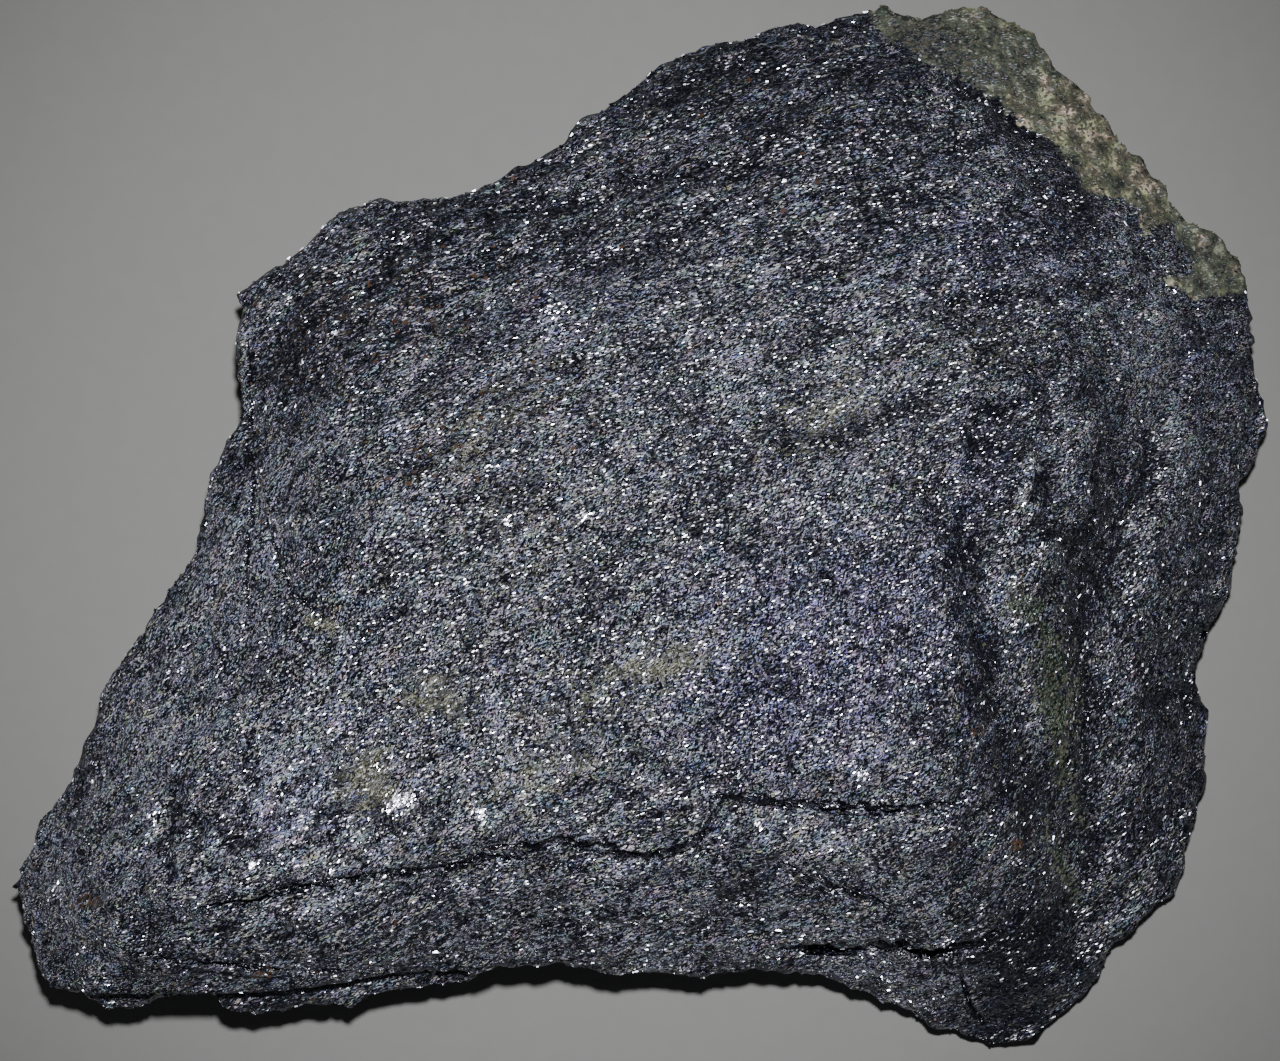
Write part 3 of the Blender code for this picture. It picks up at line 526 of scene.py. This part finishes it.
MERGE_DISTANCE = 1e-6
QUAD_LIMIT = math.radians(60)
stone = bpy.data.objects.new("stone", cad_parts["rock"].data.copy())
bpy.context.scene.collection.objects.link(stone)
bpy.ops.object.select_all(action="DESELECT")
stone.select_set(True)
bpy.context.view_layer.objects.active = stone
bpy.ops.object.mode_set(mode="EDIT")
bpy.ops.mesh.select_all(action="SELECT")
bpy.ops.mesh.remove_doubles(threshold=MERGE_DISTANCE)
bpy.ops.mesh.tris_convert_to_quads(face_threshold=QUAD_LIMIT, shape_threshold=QUAD_LIMIT)
bpy.ops.object.mode_set(mode="OBJECT")

# Sharp edges stay fairly sharp when the solid is rounded
SOFT_BEND, SHARP_BEND = 22.0, 52.0
crease = stone.data.attributes.new("crease_edge", "FLOAT", "EDGE")
sharpness = np.zeros(len(stone.data.edges))
beside = {}
for face in stone.data.polygons:
    for key in face.edge_keys:
        beside.setdefault(key, []).append(face.normal)
for edge in stone.data.edges:
    bend = math.degrees(beside[edge.key][0].angle(beside[edge.key][-1]))
    sharpness[edge.index] = min(1.0, max(0.0, (bend - SOFT_BEND) / (SHARP_BEND - SOFT_BEND)))
crease.data.foreach_set("value", sharpness)
rounding = stone.modifiers.new("rounding", "SUBSURF")
rounding.levels = rounding.render_levels = 2
bpy.ops.object.modifier_apply(modifier=rounding.name)

# Finer faces along the cracks, so that they can be cut thin, and few on the flat face below
CRACK_MARGIN = 0.30
LOWEST_CRACK = 4.0
FLAT_FACE_LEVEL = 0.02 * MM
FLAT_FACE_SHARE = 0.08
face_middles = np.empty(len(stone.data.polygons) * 3)
stone.data.polygons.foreach_get("center", face_middles)
face_middles = face_middles.reshape(-1, 3) / MM
crack_distance = np.full(len(face_middles), np.inf)
for path, _, _ in CRACKS:
    crack_distance = np.minimum(crack_distance, seen_from_path(path, to_and_fro(face_middles))[0])
near_crack = (crack_distance < CRACK_MARGIN) & (face_middles[:, 2] > LOWEST_CRACK)
bpy.context.tool_settings.mesh_select_mode = (False, False, True)
bpy.ops.object.mode_set(mode="EDIT")
bpy.ops.mesh.select_all(action="DESELECT")
bpy.ops.object.mode_set(mode="OBJECT")
stone.data.polygons.foreach_set("select", near_crack)
bpy.ops.object.mode_set(mode="EDIT")
bpy.ops.mesh.subdivide(number_cuts=2)
bpy.ops.mesh.select_all(action="DESELECT")
bpy.ops.object.mode_set(mode="OBJECT")
for face in stone.data.polygons:
    face.select = face.center.z < FLAT_FACE_LEVEL
bpy.ops.object.mode_set(mode="EDIT")
bpy.ops.mesh.decimate(ratio=FLAT_FACE_SHARE)
bpy.ops.mesh.select_all(action="SELECT")
bpy.ops.object.mode_set(mode="OBJECT")


def vertex_arrays(mesh):
    """The mesh's vertex places in millimetres and its vertex normals."""
    places = np.empty(len(mesh.vertices) * 3)
    normals = np.empty(len(mesh.vertices) * 3)
    mesh.vertices.foreach_get("co", places)
    mesh.vertices.foreach_get("normal", normals)
    return places.reshape(-1, 3) / MM, normals.reshape(-1, 3)


# The layers dip to the left and front. Where the surface lies in them it shows the flakes' bright
# faces, and where it is broken across them it shows dark ends. Heights and lengths of the relief
# are in millimetres.
LAYERS_FACE = np.array([-0.42, -0.25, 0.872])
IN_LAYERS_USUAL = 0.78
LAYER_THICKNESS, LAYER_RELIEF = 1.35, 0.30
DASH_RELIEF, LUMP_RELIEF, SCALE_RELIEF = 0.16, 0.50, 0.42
BREAK_RELIEF = 0.35
BAND_RELIEF = 0.8
BUNDLE_RELIEF = 0.42
WRINKLE_RELIEF = 0.9
WHOLLY_STEEP = 0.45  # how far the normal's height is below 1 where a slope is wholly broken
BASE_LEVEL = 0.4  # the flat face below this height stays as it is
# Painted light and shade: raised relief is painted lighter and sunken relief darker, by this much a
# millimetre
PAINTED_LIGHT_PER_MM = 0.07  # how much a millimetre of relief lightens the stone
SWAY, SWAY_LENGTH = 1.2, 2.5

places, normals = vertex_arrays(stone.data)
in_layers = normals @ LAYERS_FACE
band = beyond_band(places) + 0.8 * rough(places, 2.4, 13) + 0.9 * rough(places, 0.9, 14)
layered = patches_at(places, LAYERED_PATCHES)
crumpled = patches_at(places, CRUMPLED_PATCHES)
steep = eased((1.0 - np.abs(normals[:, 2])) / WHOLLY_STEEP)
upward = normals[:, 2] > 0.1

# Frames shortened along the grain, in which noise comes out drawn along it
with_grain = follow_grain(places)
dashes = with_grain / np.array([2.6, 1.0, 1.0])
scales = with_grain / np.array([2.0, 1.0, 1.0])
wrinkles = with_grain / np.array([1.9, 1.0, 1.0])
bundles = with_grain / np.array([9.0, 1.0, 1.0])

uneven = 1.5 * rough(places, 16.0, 1) + 0.5 * rough(places, 4.0, 2)
layer_number = (places[:, 2] + uneven) / LAYER_THICKNESS
ledge = np.abs((layer_number % 1.0) - 0.35) * 2.0 - 0.6
relief = LAYER_RELIEF * steep * ledge * (0.5 + rough(places, 6.0, 3))
relief += DASH_RELIEF * rough(dashes, 0.9, 4)
relief += steep * (BREAK_RELIEF * rough(places, 2.4, 17) + BREAK_RELIEF * rough(places, 1.1, 18))
relief += 0.5 * LUMP_RELIEF * rough(dashes, 1.9, 5)
relief += LUMP_RELIEF * rough(dashes, 3.4, 6)
relief += eased(band) * BAND_RELIEF * (rough(places, 1.5, 15, True) - 0.2)
relief -= SCALE_RELIEF * (rough(scales, 2.2, 10, True) - 0.2)
relief += BUNDLE_RELIEF * layered * rough(bundles, 1.0, 9)
relief += WRINKLE_RELIEF * crumpled * rough(wrinkles, 1.7, 16)
sway = np.column_stack([rough(places, SWAY_LENGTH, 11), rough(places, SWAY_LENGTH, 12),
                        np.zeros(len(places))])
fold_height, fold_painted_light = folds_at(places + sway * SWAY)
relief += np.where(upward, fold_height, 0.0)
# Painted light on the raised folds and relief, and painted shade on the sunken ones
lighter = np.where(upward, fold_painted_light, 0.0) + PAINTED_LIGHT_PER_MM * relief

# The cracks are notches. Inside them the colour is darkened as painted shade, and no grain stands beside
# them.
BARE_MARGIN = 0.15
painted_crack_shade = np.zeros(len(places))
beside_crack = np.zeros(len(places))
for path, depth, half_width in CRACKS:
    distance, from_end = seen_from_path(path, to_and_fro(places))
    fade = eased(from_end / CRACK_FADE)
    notch = np.clip(1.0 - distance / half_width, 0.0, 1.0) * fade
    relief -= np.where(upward, depth * notch, 0.0)
    bare = np.where(upward, eased(1.6 - distance / (half_width + BARE_MARGIN)), 0.0)
    beside_crack = np.maximum(beside_crack, bare * fade * min(1.0, depth))
    # Painted shade: the colour darkens towards the middle of a crack
    shade = eased(1.4 - distance / half_width) * fade * eased(0.15 + depth / 1.6)
    painted_crack_shade = np.maximum(painted_crack_shade, np.where(upward, shade, 0.0))

# The two layers in front reach out to their edges. In every column of places, the foremost one
# is moved onto the edge, and those behind it follow less and less.
COLUMN_WIDTH = 0.5
FRONT_FROM = -43.0
MOST_INWARD, MOST_OUTWARD = 1.5, 2.5
FOLLOWING = 2.5
leftmost = int(places[:, 0].min() / COLUMN_WIDTH)
outward = np.zeros(len(places))
for path, low, high in LAYER_EDGES:
    brink = np.array(path)
    shelf = eased(places[:, 2] - low) * eased(high - places[:, 2]) * (normals[:, 1] < 0.0)
    shelf *= eased((places[:, 0] - brink[0, 0]) / 1.5) * eased((brink[-1, 0] - places[:, 0]) / 1.5)
    relief *= 1.0 - 0.8 * shelf * (places[:, 1] < FRONT_FROM)
    columns = np.round(places[:, 0] / COLUMN_WIDTH).astype(int) - leftmost + 2
    on_shelf = np.flatnonzero((shelf > 0.8) & (places[:, 1] < FRONT_FROM + 3.0))
    foremost = np.full(columns.max() + 1, np.inf)
    np.minimum.at(foremost, columns[on_shelf], places[on_shelf, 1])
    known = np.flatnonzero(np.isfinite(foremost))
    front = np.interp(places[:, 0] / COLUMN_WIDTH - leftmost + 2, known, foremost[known])
    moved = np.clip(np.interp(places[:, 0], *brink.T) - front, -MOST_OUTWARD, MOST_INWARD)
    outward += moved * shelf * eased((FOLLOWING - (places[:, 1] - front)) / 2.0)

places += normals * (relief * eased(places[:, 2] / BASE_LEVEL))[:, None]
places[:, 1] += outward
places[:, 2] = np.maximum(places[:, 2], 0.0)
stone.data.vertices.foreach_set("co", (places * MM).ravel())
stone.data.update()
bpy.ops.object.shade_smooth()


def keep_value(name, values):
    """Gives the stone's vertices a named value each, for its material to read."""
    kept = stone.data.attributes.new(name, "FLOAT", "POINT")
    kept.data.foreach_set("value", values)


kept_grain = stone.data.attributes.new("grain", "FLOAT_VECTOR", "POINT")
kept_grain.data.foreach_set("vector", follow_grain(places).ravel())
keep_value("in_layers", in_layers)
keep_value("layered", layered)
keep_value("painted_crack_shade", painted_crack_shade)
# Partly the stone's own tone, partly painted light and painted shade, such as the darkened tip that slopes
# away
keep_value("light", patches_at(places, LIGHTER_TONE_AND_PAINTED_LIGHT_PATCHES) - patches_at(places, DARKER_TONE_AND_PAINTED_SHADE_PATCHES))
# Random lighter and darker tone, in the crumpled patches and all over, joins that painted light and shade
lighter += 0.36 * crumpled * rough(wrinkles, 1.1, 26)
keep_value("lighter", lighter + 0.08 * rough(places, 7.0, 21) + 0.07 * rough(places, 3.0, 22))
keep_value("violet", patches_at(places, VIOLET_PATCHES))
blotches = 1.5 * rough(places, 2.2, 23) + 0.9 * rough(places, 1.1, 24)
keep_value("band_green", patches_at(places, BAND_GREEN_PATCHES) + blotches - 0.10 * band)
dark_blotches = 0.9 * rough(places, 1.5, 25)
keep_value("band_dark", patches_at(places, BAND_DARK_PATCHES) + dark_blotches - 0.05 * band)
keep_value("band", band)
keep_value("tan", patches_at(places, TAN_PATCHES))
keep_value("rusty", np.minimum(1.0, patches_at(places, RUST_PATCHES)))
keep_value("green", patches_at(places, GREEN_PATCHES))

# The skin's colours, from its darkest grains to its brightest. The near-white top is brighter than the
# grains' own colour and is partly a painted glint.
SCHIST = [(0.30, (0.0015, 0.0015, 0.004)), (0.64, (0.0075, 0.008, 0.016)),
          (0.78, (0.044, 0.044, 0.050)), (0.88, (0.27, 0.27, 0.31)), (1.0, (1.0, 0.98, 1.0))]
GRAIN_TINTS = [(0.0, (0.72, 0.74, 1.25)), (0.35, (0.84, 0.86, 1.12)), (0.6, (0.86, 1.04, 0.92)),
               (0.82, (1.05, 1.02, 0.80)), (1.0, (1.10, 0.90, 1.10))]
EARTH = [(0.30, (0.028, 0.029, 0.020)), (0.60, (0.125, 0.127, 0.090)),
         (0.78, (0.33, 0.33, 0.24)), (0.98, (0.90, 0.88, 0.70))]
MOSS = [(0.35, (0.005, 0.010, 0.006)), (0.65, (0.030, 0.048, 0.031)),
        (0.80, (0.125, 0.185, 0.120)), (1.0, (0.60, 0.78, 0.56))]
FELSIC = [(0.30, (0.022, 0.028, 0.018)), (0.42, (0.110, 0.122, 0.080)),
          (0.52, (0.34, 0.335, 0.235)), (0.68, (0.98, 0.90, 0.72))]
BAND_MOSS = [(0.30, (0.006, 0.010, 0.006)), (0.42, (0.038, 0.052, 0.032)),
             (0.56, (0.112, 0.148, 0.094)), (0.72, (0.52, 0.56, 0.38))]
COOL_TINT = (0.98, 0.90, 1.20, 1.0)
YELLOWISH, PINKISH = (0.90, 1.04, 0.76, 1.0), (1.16, 0.97, 0.98, 1.0)
BAND_DARK_TINT = (0.42, 0.50, 0.48, 1.0)
RUST_STAIN = (0.110, 0.078, 0.050, 1.0)

skin = Finish("schist", IOR=1.8, Specular_IOR_Level=1.0, Specular_Tint=(0.88, 0.88, 1.0, 1.0))
here = skin.places()
grain = skin.add("ShaderNodeAttribute", {"attribute_name": "grain"}, 1)


def needles(turn, length, width):
    """A felt of slender grains, each of its own random colour, that lie at a turn to the grain."""
    turned = skin.add("ShaderNodeMapping", {"vector_type": "TEXTURE"}, Vector=grain,
                      Rotation=(0.0, 0.0, math.radians(turn)), Scale=(length, width, 1.6 * width))
    return skin.cells(turned, 1.0, 1)


rising = needles(turn=-13.0, length=0.30, width=0.080)
falling = needles(turn=19.0, length=0.25, width=0.072)
felt = skin.part(skin.mix(1.0, rising, falling, "LIGHTEN"), 0)
drawn_out = skin.scaled(grain, (0.55, 1.0, 1.0))
long_drawn = skin.scaled(grain, (0.12, 1.0, 1.0))
streaks = skin.noise(long_drawn, length=0.5, detail=2.0)
bundled = skin.noise(long_drawn, length=0.35, detail=2.0)
lumps = skin.noise(drawn_out, length=1.5)
# The tone carries painted shade in the cracks, and painted light and shade from the relief, the folds and
# the patches
tone = felt * 1.2 - 0.165 + (streaks - 0.5) * 0.35 + (bundled - 0.5) * skin.stored("layered") * 1.25
tone = tone + (skin.stored("in_layers") - IN_LAYERS_USUAL) * 0.12 + skin.stored("light") * 0.07
tone = tone + skin.stored("lighter") - 0.028 + (lumps - 0.5) * 0.38 - skin.stored("painted_crack_shade") * 0.6

# Every grain's own tint, and cooler and warmer parts among them
schist = skin.tinted(skin.ramp(tone, SCHIST), skin.ramp(skin.part(rising, 1), GRAIN_TINTS))
parts = skin.add("ShaderNodeTexNoise", output=1, Vector=drawn_out, Scale=0.8, Detail=4.0,
                 Roughness=0.7)
part_tint = skin.add("ShaderNodeVectorMath", {"operation": "MULTIPLY_ADD"}, _0=parts,
                     _1=(1.5, 0.7, 1.5), _2=(0.23, 0.66, 0.27))
schist = skin.tinted(schist, part_tint)
cool_share = skin.step(skin.stored("violet") + (lumps - 0.5) * 0.5, 0.1, 0.9)
schist = skin.mix(cool_share, schist, skin.tinted(schist, COOL_TINT))

# Tan earth, moss and rust in patches that break up at their edges
dust = skin.noise(drawn_out, length=1.3, detail=4.0, roughness=0.65)
tan_share = skin.step(skin.stored("tan") * 0.85 + (dust - 0.5) * 2.4, 0.35, 0.80) * 0.9
surface = skin.mix(tan_share, schist, skin.ramp(tone, EARTH))
green_share = skin.step(skin.stored("green") + (dust - 0.5) * 2.6, 0.30, 0.80) * 0.9
surface = skin.mix(green_share, surface, skin.ramp(tone, MOSS))
stains = (skin.noise(drawn_out, length=0.9) - 0.5) * 1.8
rust_share = skin.step(skin.stored("rusty") * 0.5 + stains, 0.42, 0.62) * 0.6
surface = skin.mix(rust_share, surface, RUST_STAIN)

# The pale band: tan and pinkish outside, dark green where it meets the schist and at its ends
chips = skin.noise(here, length=1.7, detail=6.0, roughness=0.62)
chips = (chips - 0.5) * 1.25 + 0.44 + felt * 0.09
blush = skin.step(skin.noise(here, length=1.9, roughness=0.6), 0.42, 0.58)
felsic = skin.tinted(skin.ramp(chips, FELSIC), skin.mix(blush, YELLOWISH, PINKISH))
moss_share = skin.step(skin.stored("band_green") + (chips - 0.5) * 0.8, 0.0, 0.5)
pale = skin.mix(moss_share, felsic, skin.ramp(chips, BAND_MOSS))
dark_share = skin.step(skin.stored("band_dark") + (chips - 0.5) * 0.8, 0.25, 0.6) * 0.85
pale = skin.mix(dark_share, pale, skin.tinted(schist, BAND_DARK_TINT))
band_share = skin.step(skin.stored("band") + (chips - 0.5) * 2.0, -0.25, 0.35)
skin.join(skin.mix(band_share, surface, pale), skin.shader.inputs["Base Color"])
skin.join(skin.part(falling, 1) * 0.10 + 0.15 + band_share * 0.3, skin.shader.inputs["Roughness"])

# Each grain is a facet, turned at random from the surface, which is drawn a little to the layers
KEEP_LAYERS = 0.2
FACET_TURN = 0.9
layers_up = (-0.10 * KEEP_LAYERS, -0.02 * KEEP_LAYERS, 0.99 * KEEP_LAYERS)
upright = skin.add("ShaderNodeVectorMath", {"operation": "MULTIPLY_ADD"},
                   _0=skin.add("ShaderNodeNewGeometry", output=1), _1=(1.0 - KEEP_LAYERS,) * 3,
                   _2=layers_up)
aside = skin.add("ShaderNodeVectorMath", {"operation": "SUBTRACT"}, _0=rising, _1=(0.5, 0.5, 0.5))
aside = skin.scaled(aside, (FACET_TURN,) * 3)
facet = skin.add("ShaderNodeVectorMath", {"operation": "ADD"}, _0=upright, _1=aside)
facet = skin.add("ShaderNodeVectorMath", {"operation": "NORMALIZE"}, _0=facet)
skin.join(facet, skin.shader.inputs["Normal"])
stone.data.materials.clear()
stone.data.materials.append(skin.material)
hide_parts("rock")
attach(stone, "root")


# The amphibole prisms
# The schist is a felt of small dark amphibole prisms that lie along its layers and flash where
# their faces turn to the light. Each is a tapered peg set into the stone, whose skin has the
# finest of them as colour.

UP_SIDE, WALL_SIDE, WALL_SHARE, UNDER_SHARE = 0.3, -0.4, 0.75, 0.4
LOWEST_GRAIN = 0.9
BAND_BLEND = 0.6
stone.data.calc_loop_triangles()
facets = np.empty(len(stone.data.loop_triangles) * 3, int)
stone.data.loop_triangles.foreach_get("vertices", facets)
facets = facets.reshape(-1, 3)
skin_places, skin_normals = vertex_arrays(stone.data)
triangles = skin_places[facets]
across_facets = np.cross(triangles[:, 1] - triangles[:, 0], triangles[:, 2] - triangles[:, 0])
areas = 0.5 * np.linalg.norm(across_facets, axis=1)
middles = triangles.mean(1)
facing = skin_normals[facets].mean(1)
exposed = np.where(facing[:, 2] > UP_SIDE, 1.0,
                   np.where(facing[:, 2] > WALL_SIDE, WALL_SHARE, UNDER_SHARE))
exposed *= middles[:, 2] > LOWEST_GRAIN
exposed *= 1.0 - beside_crack[facets].mean(1)
in_band = eased(band[facets].mean(1) / BAND_BLEND + 0.5)
off_band = 1.0 - 0.93 * in_band

# More of the bright grains in clumps, on the layers' faces and in the patches painted lighter
clumps = rough(follow_grain(middles) / np.array([1.8, 1.0, 1.0]), 1.3, 31)
clumps = np.clip(0.9 + 2.4 * clumps, 0.15, 2.2)
bright = 0.5 * (patches_at(middles, LIGHTER_TONE_AND_PAINTED_LIGHT_PATCHES) - patches_at(middles, DARKER_TONE_AND_PAINTED_SHADE_PATCHES))
bright = np.clip(1.0 + 1.2 * (in_layers[facets].mean(1) - IN_LAYERS_USUAL) + bright, 0.12, 2.0)


def peg(corners_round):
    """One grain: a flat top with this many corners, half a unit round, tapering to a point."""
    bpy.ops.object.select_all(action="DESELECT")
    bpy.ops.mesh.primitive_cone_add(vertices=corners_round, radius1=0.5, radius2=0.0, depth=1.0,
                                    rotation=(math.pi, 0.0, math.pi / corners_round),
                                    location=(0.0, 0.0, -0.5))
    made = bpy.context.object
    bpy.ops.object.transform_apply(location=True, rotation=True, scale=True)
    points, _ = vertex_arrays(made.data)
    faces = [list(face.vertices) for face in made.data.polygons]
    bpy.data.objects.remove(made)
    return points * MM, faces


PEG_DEPTH = 0.5
GRAIN_STRAY = math.radians(18.0)
LOWEST_POINT = 0.02


def set_grains(name, seed, count, where, shape, length, slimness, lift, roll, pitch, turned=0.0):
    """Many copies of a peg in one mesh, set into the stone where the given weights allow.
    Lengths and lifts are in millimetres, rolls and pitches the spread of their tilt in degrees,
    and turned says how far they turn from the stone's own slope to mirror the lamp."""
    draw = np.random.default_rng(seed)
    points, faces = shape
    weights = areas * exposed * where
    chosen = draw.choice(len(areas), count, p=weights / weights.sum())
    shares = draw.random((count, 2))
    shares = np.where(shares.sum(1, keepdims=True) > 1.0, 1.0 - shares, shares)
    shares = np.column_stack([1.0 - shares.sum(1), shares])
    at = (skin_places[facets[chosen]] * shares[:, :, None]).sum(1)
    up = (skin_normals[facets[chosen]] * shares[:, :, None]).sum(1)
    mirror = np.array(lamp.location + camera.location) / MM - 2.0 * at
    up = up * (1.0 - turned) + mirror / np.linalg.norm(mirror, axis=1, keepdims=True) * turned
    up /= np.linalg.norm(up, axis=1, keepdims=True)

    # Along the grain on the layers, and level where the stone is broken across them
    angle = grain_angle(at[:, 0], at[:, 1]) + draw.normal(0.0, GRAIN_STRAY, count)
    trend = np.column_stack([np.cos(angle), np.sin(angle), np.zeros(count)])
    level = np.cross(up, (0.0, 0.0, 1.0))
    level *= np.sign((level * trend).sum(1, keepdims=True) + 1e-9)
    broken = eased((1.0 - np.abs(up[:, 2])) / 0.5 - 0.2)[:, None]
    along = trend * (1.0 - broken) + level * broken
    along -= up * (along * up).sum(1, keepdims=True)
    along /= np.linalg.norm(along, axis=1, keepdims=True) + 1e-9
    across = np.cross(up, along)

    # Tilted about its length, then nose down
    roll = np.radians(draw.normal(0.0, roll, count) * (1.0 + 0.5 * broken[:, 0]))[:, None]
    cos, sin = np.cos(roll), np.sin(roll)
    across, up = across * cos + up * sin, up * cos - across * sin
    pitch = np.radians(draw.normal(0.0, pitch, count))[:, None]
    cos, sin = np.cos(pitch), np.sin(pitch)
    along, up = along * cos - up * sin, up * cos + along * sin

    # Each of its own length and width, with its corners a little shaken
    size = draw.uniform(*length, count) * draw.uniform(0.7, 1.0, count)
    width = size * draw.uniform(*slimness, count)
    shaken = points[None] * (1.0 + draw.uniform(-0.22, 0.22, (count, len(points), 3)))
    shaken[:, :, 2] = points[:, 2]
    local = shaken * np.column_stack([size, width, np.full(count, PEG_DEPTH)])[:, None]
    axes = np.stack([along, across, up], 1)
    raised = at + up * draw.uniform(*lift, count)[:, None]
    verts = np.einsum("nkc,ncd->nkd", local, axes) + raised[:, None]
    verts[:, :, 2] = np.maximum(verts[:, :, 2], LOWEST_POINT)

    mesh = bpy.data.meshes.new(name)
    rounds = np.array([len(face) for face in faces])
    loops = np.concatenate(faces)
    offsets = np.arange(count)[:, None] * len(points)
    mesh.vertices.add(count * len(points))
    mesh.vertices.foreach_set("co", (verts * MM).ravel())
    mesh.loops.add(count * len(loops))
    mesh.loops.foreach_set("vertex_index", (offsets + loops).ravel())
    starts = np.arange(count)[:, None] * len(loops) + np.cumsum(rounds) - rounds
    mesh.polygons.add(count * len(faces))
    mesh.polygons.foreach_set("loop_start", starts.ravel())
    mesh.update(calc_edges=True)
    mesh.validate()
    mesh.shade_flat()
    made = bpy.data.objects.new(name, mesh)
    bpy.context.scene.collection.objects.link(made)
    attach(made, "root")
    return made


prism = peg(4)
dark_prisms = set_grains("amphibole_prisms", seed=1, count=32000, where=off_band, shape=prism,
                         length=(0.28, 0.85), slimness=(0.18, 0.32), lift=(0.02, 0.13),
                         roll=19.0, pitch=9.0)
dark_prisms.data.materials.append(
    Finish("amphibole", Base_Color=(0.008, 0.009, 0.014, 1.0), Roughness=0.20, IOR=1.8,
           Specular_IOR_Level=0.8, Specular_Tint=(0.82, 0.88, 1.0, 1.0)).material)

pale_splinters = set_grains("amphibole_splinters", seed=2, count=32000,
                            where=off_band * bright * clumps, shape=prism,
                            length=(0.22, 0.6), slimness=(0.2, 0.36), lift=(0.03, 0.14),
                            roll=17.0, pitch=10.0)
pale_splinters.data.materials.append(
    Finish("amphibole_pale", Base_Color=(0.070, 0.074, 0.100, 1.0), Roughness=0.18, IOR=1.9,
           Specular_IOR_Level=1.0, Specular_Tint=(0.86, 0.89, 1.0, 1.0)).material)


# The mica flakes
# Thin bright flakes of mica between the prisms, nearly level with the layers. They grew with the
# rock and are set into its skin as the prisms are.

flake = peg(5)
mica_flakes = set_grains("mica_flakes", seed=3, count=24000,
                         where=off_band * bright**2 * clumps, shape=flake,
                         length=(0.2, 0.48), slimness=(0.18, 0.38), lift=(0.03, 0.14),
                         roll=13.0, pitch=11.0)
mica_flakes.data.materials.append(
    Finish("mica", Base_Color=(0.34, 0.34, 0.42, 1.0), Roughness=0.17, IOR=1.9,
           Specular_IOR_Level=1.0).material)


# The pale band's grains
# Blunt grains of feldspar on the band that is grown into the far right corner. They are wider
# than the prisms, tilt more, and stand out a little.

band_grains = set_grains("band_grains", seed=4, count=5000, where=in_band, shape=flake,
                         length=(0.25, 0.7), slimness=(0.5, 0.9), lift=(-0.02, 0.10),
                         roll=24.0, pitch=20.0)
band_grains.data.materials.append(
    Finish("band_feldspar", Base_Color=(0.17, 0.165, 0.13, 1.0), Roughness=0.4,
           IOR=1.55).material)


# The epidote grains
# Dull yellow-green grains of epidote, strewn over the tan and the mossy patches of the upper
# side and grown into them.

STRAYS = 0.01  # the weight of places outside all patches
coloured = np.maximum(patches_at(middles, TAN_PATCHES), 0.8 * patches_at(middles, GREEN_PATCHES))
epidote_grains = set_grains("epidote_grains", seed=5, count=4500, where=coloured + STRAYS,
                            shape=flake, length=(0.25, 0.6), slimness=(0.3, 0.7),
                            lift=(-0.02, 0.13), roll=20.0, pitch=18.0)
epidote_grains.data.materials.append(
    Finish("epidote", Base_Color=(0.155, 0.16, 0.115, 1.0), Roughness=0.5, IOR=1.6).material)


# The mica flashes
# Small clumps of mica faces that lie just so that they mirror the lamp. They are flakes of the
# same mica, set a little higher, in patches with rows as above.

SPARKLES = [
    (-24.2, -26.8, 1.5, 1.1, 40.0, 1.0), (-16.1, -28.1, 0.7, 0.7, 0.0, 0.9),
    (-26.1, -23.5, 1.2, 0.6, 30.0, 0.5), (-38.6, -33.1, 0.7, 0.5, 30.0, 0.7),
    (-48.6, -28.1, 1.3, 0.8, 20.0, 0.6), (-58.6, -36.0, 0.9, 0.7, 0.0, 0.6),
    (-56.0, -42.0, 0.8, 0.5, 0.0, 0.5), (-5.9, 1.3, 0.9, 0.5, 60.0, 0.7),
    (-17.5, -5.0, 0.9, 0.4, 20.0, 0.5), (-4.0, -16.8, 0.9, 0.6, 40.0, 0.6),
    (-30.7, -33.9, 0.8, 0.6, 0.0, 0.5), (-13.7, 0.8, 0.7, 0.5, 20.0, 0.6),
    (33.5, 43.1, 1.2, 0.4, 0.0, 0.5), (35.0, 29.0, 0.6, 0.5, 0.0, 0.5),
    (31.0, 28.8, 0.5, 0.4, 0.0, 0.5), (43.3, 28.3, 0.5, 0.3, 60.0, 0.4),
    (-9.0, 21.8, 1.6, 1.0, 10.0, 0.4), (21.5, -24.2, 0.9, 0.7, 20.0, 0.8),
    (19.0, -12.0, 0.6, 0.4, 60.0, 0.6), (27.9, -19.2, 0.4, 0.4, 0.0, 0.6),
    (16.0, -32.2, 0.6, 0.3, 40.0, 0.6), (11.5, -29.2, 0.8, 0.4, 10.0, 0.6),
    (37.6, 2.7, 0.6, 0.3, 60.0, 0.3), (38.6, -2.6, 1.0, 0.6, 0.0, 0.2),
    (28.8, -7.6, 0.4, 0.4, 0.0, 0.5), (-12.5, -21.5, 0.7, 0.5, 30.0, 0.5),
]
flashing = patches_at(middles, SPARKLES) ** 2 * (facing[:, 2] > 0.5)
mica_flashes = set_grains("mica_flashes", seed=7, count=620, where=flashing, shape=flake,
                          length=(0.2, 0.55), slimness=(0.22, 0.45), lift=(0.08, 0.2),
                          roll=3.0, pitch=3.0, turned=1.0)
mica_flashes.data.materials.append(
    Finish("mica_bright", Base_Color=(0.16, 0.16, 0.22, 1.0), Roughness=0.15, IOR=1.9,
           Specular_IOR_Level=1.0, Specular_Tint=(0.92, 0.88, 1.0, 1.0)).material)


# The rust specks
# A few dull specks of rusted ore, most of them in the stained patches, set into the skin as the
# other grains are.

rusted = patches_at(middles, RUST_PATCHES) + STRAYS
rust_specks = set_grains("rust_specks", seed=6, count=420, where=rusted, shape=flake,
                         length=(0.3, 0.8), slimness=(0.5, 0.9), lift=(0.0, 0.12),
                         roll=15.0, pitch=15.0)
rust_specks.data.materials.append(
    Finish("rust", Base_Color=(0.13, 0.065, 0.035, 1.0), Roughness=0.7).material)
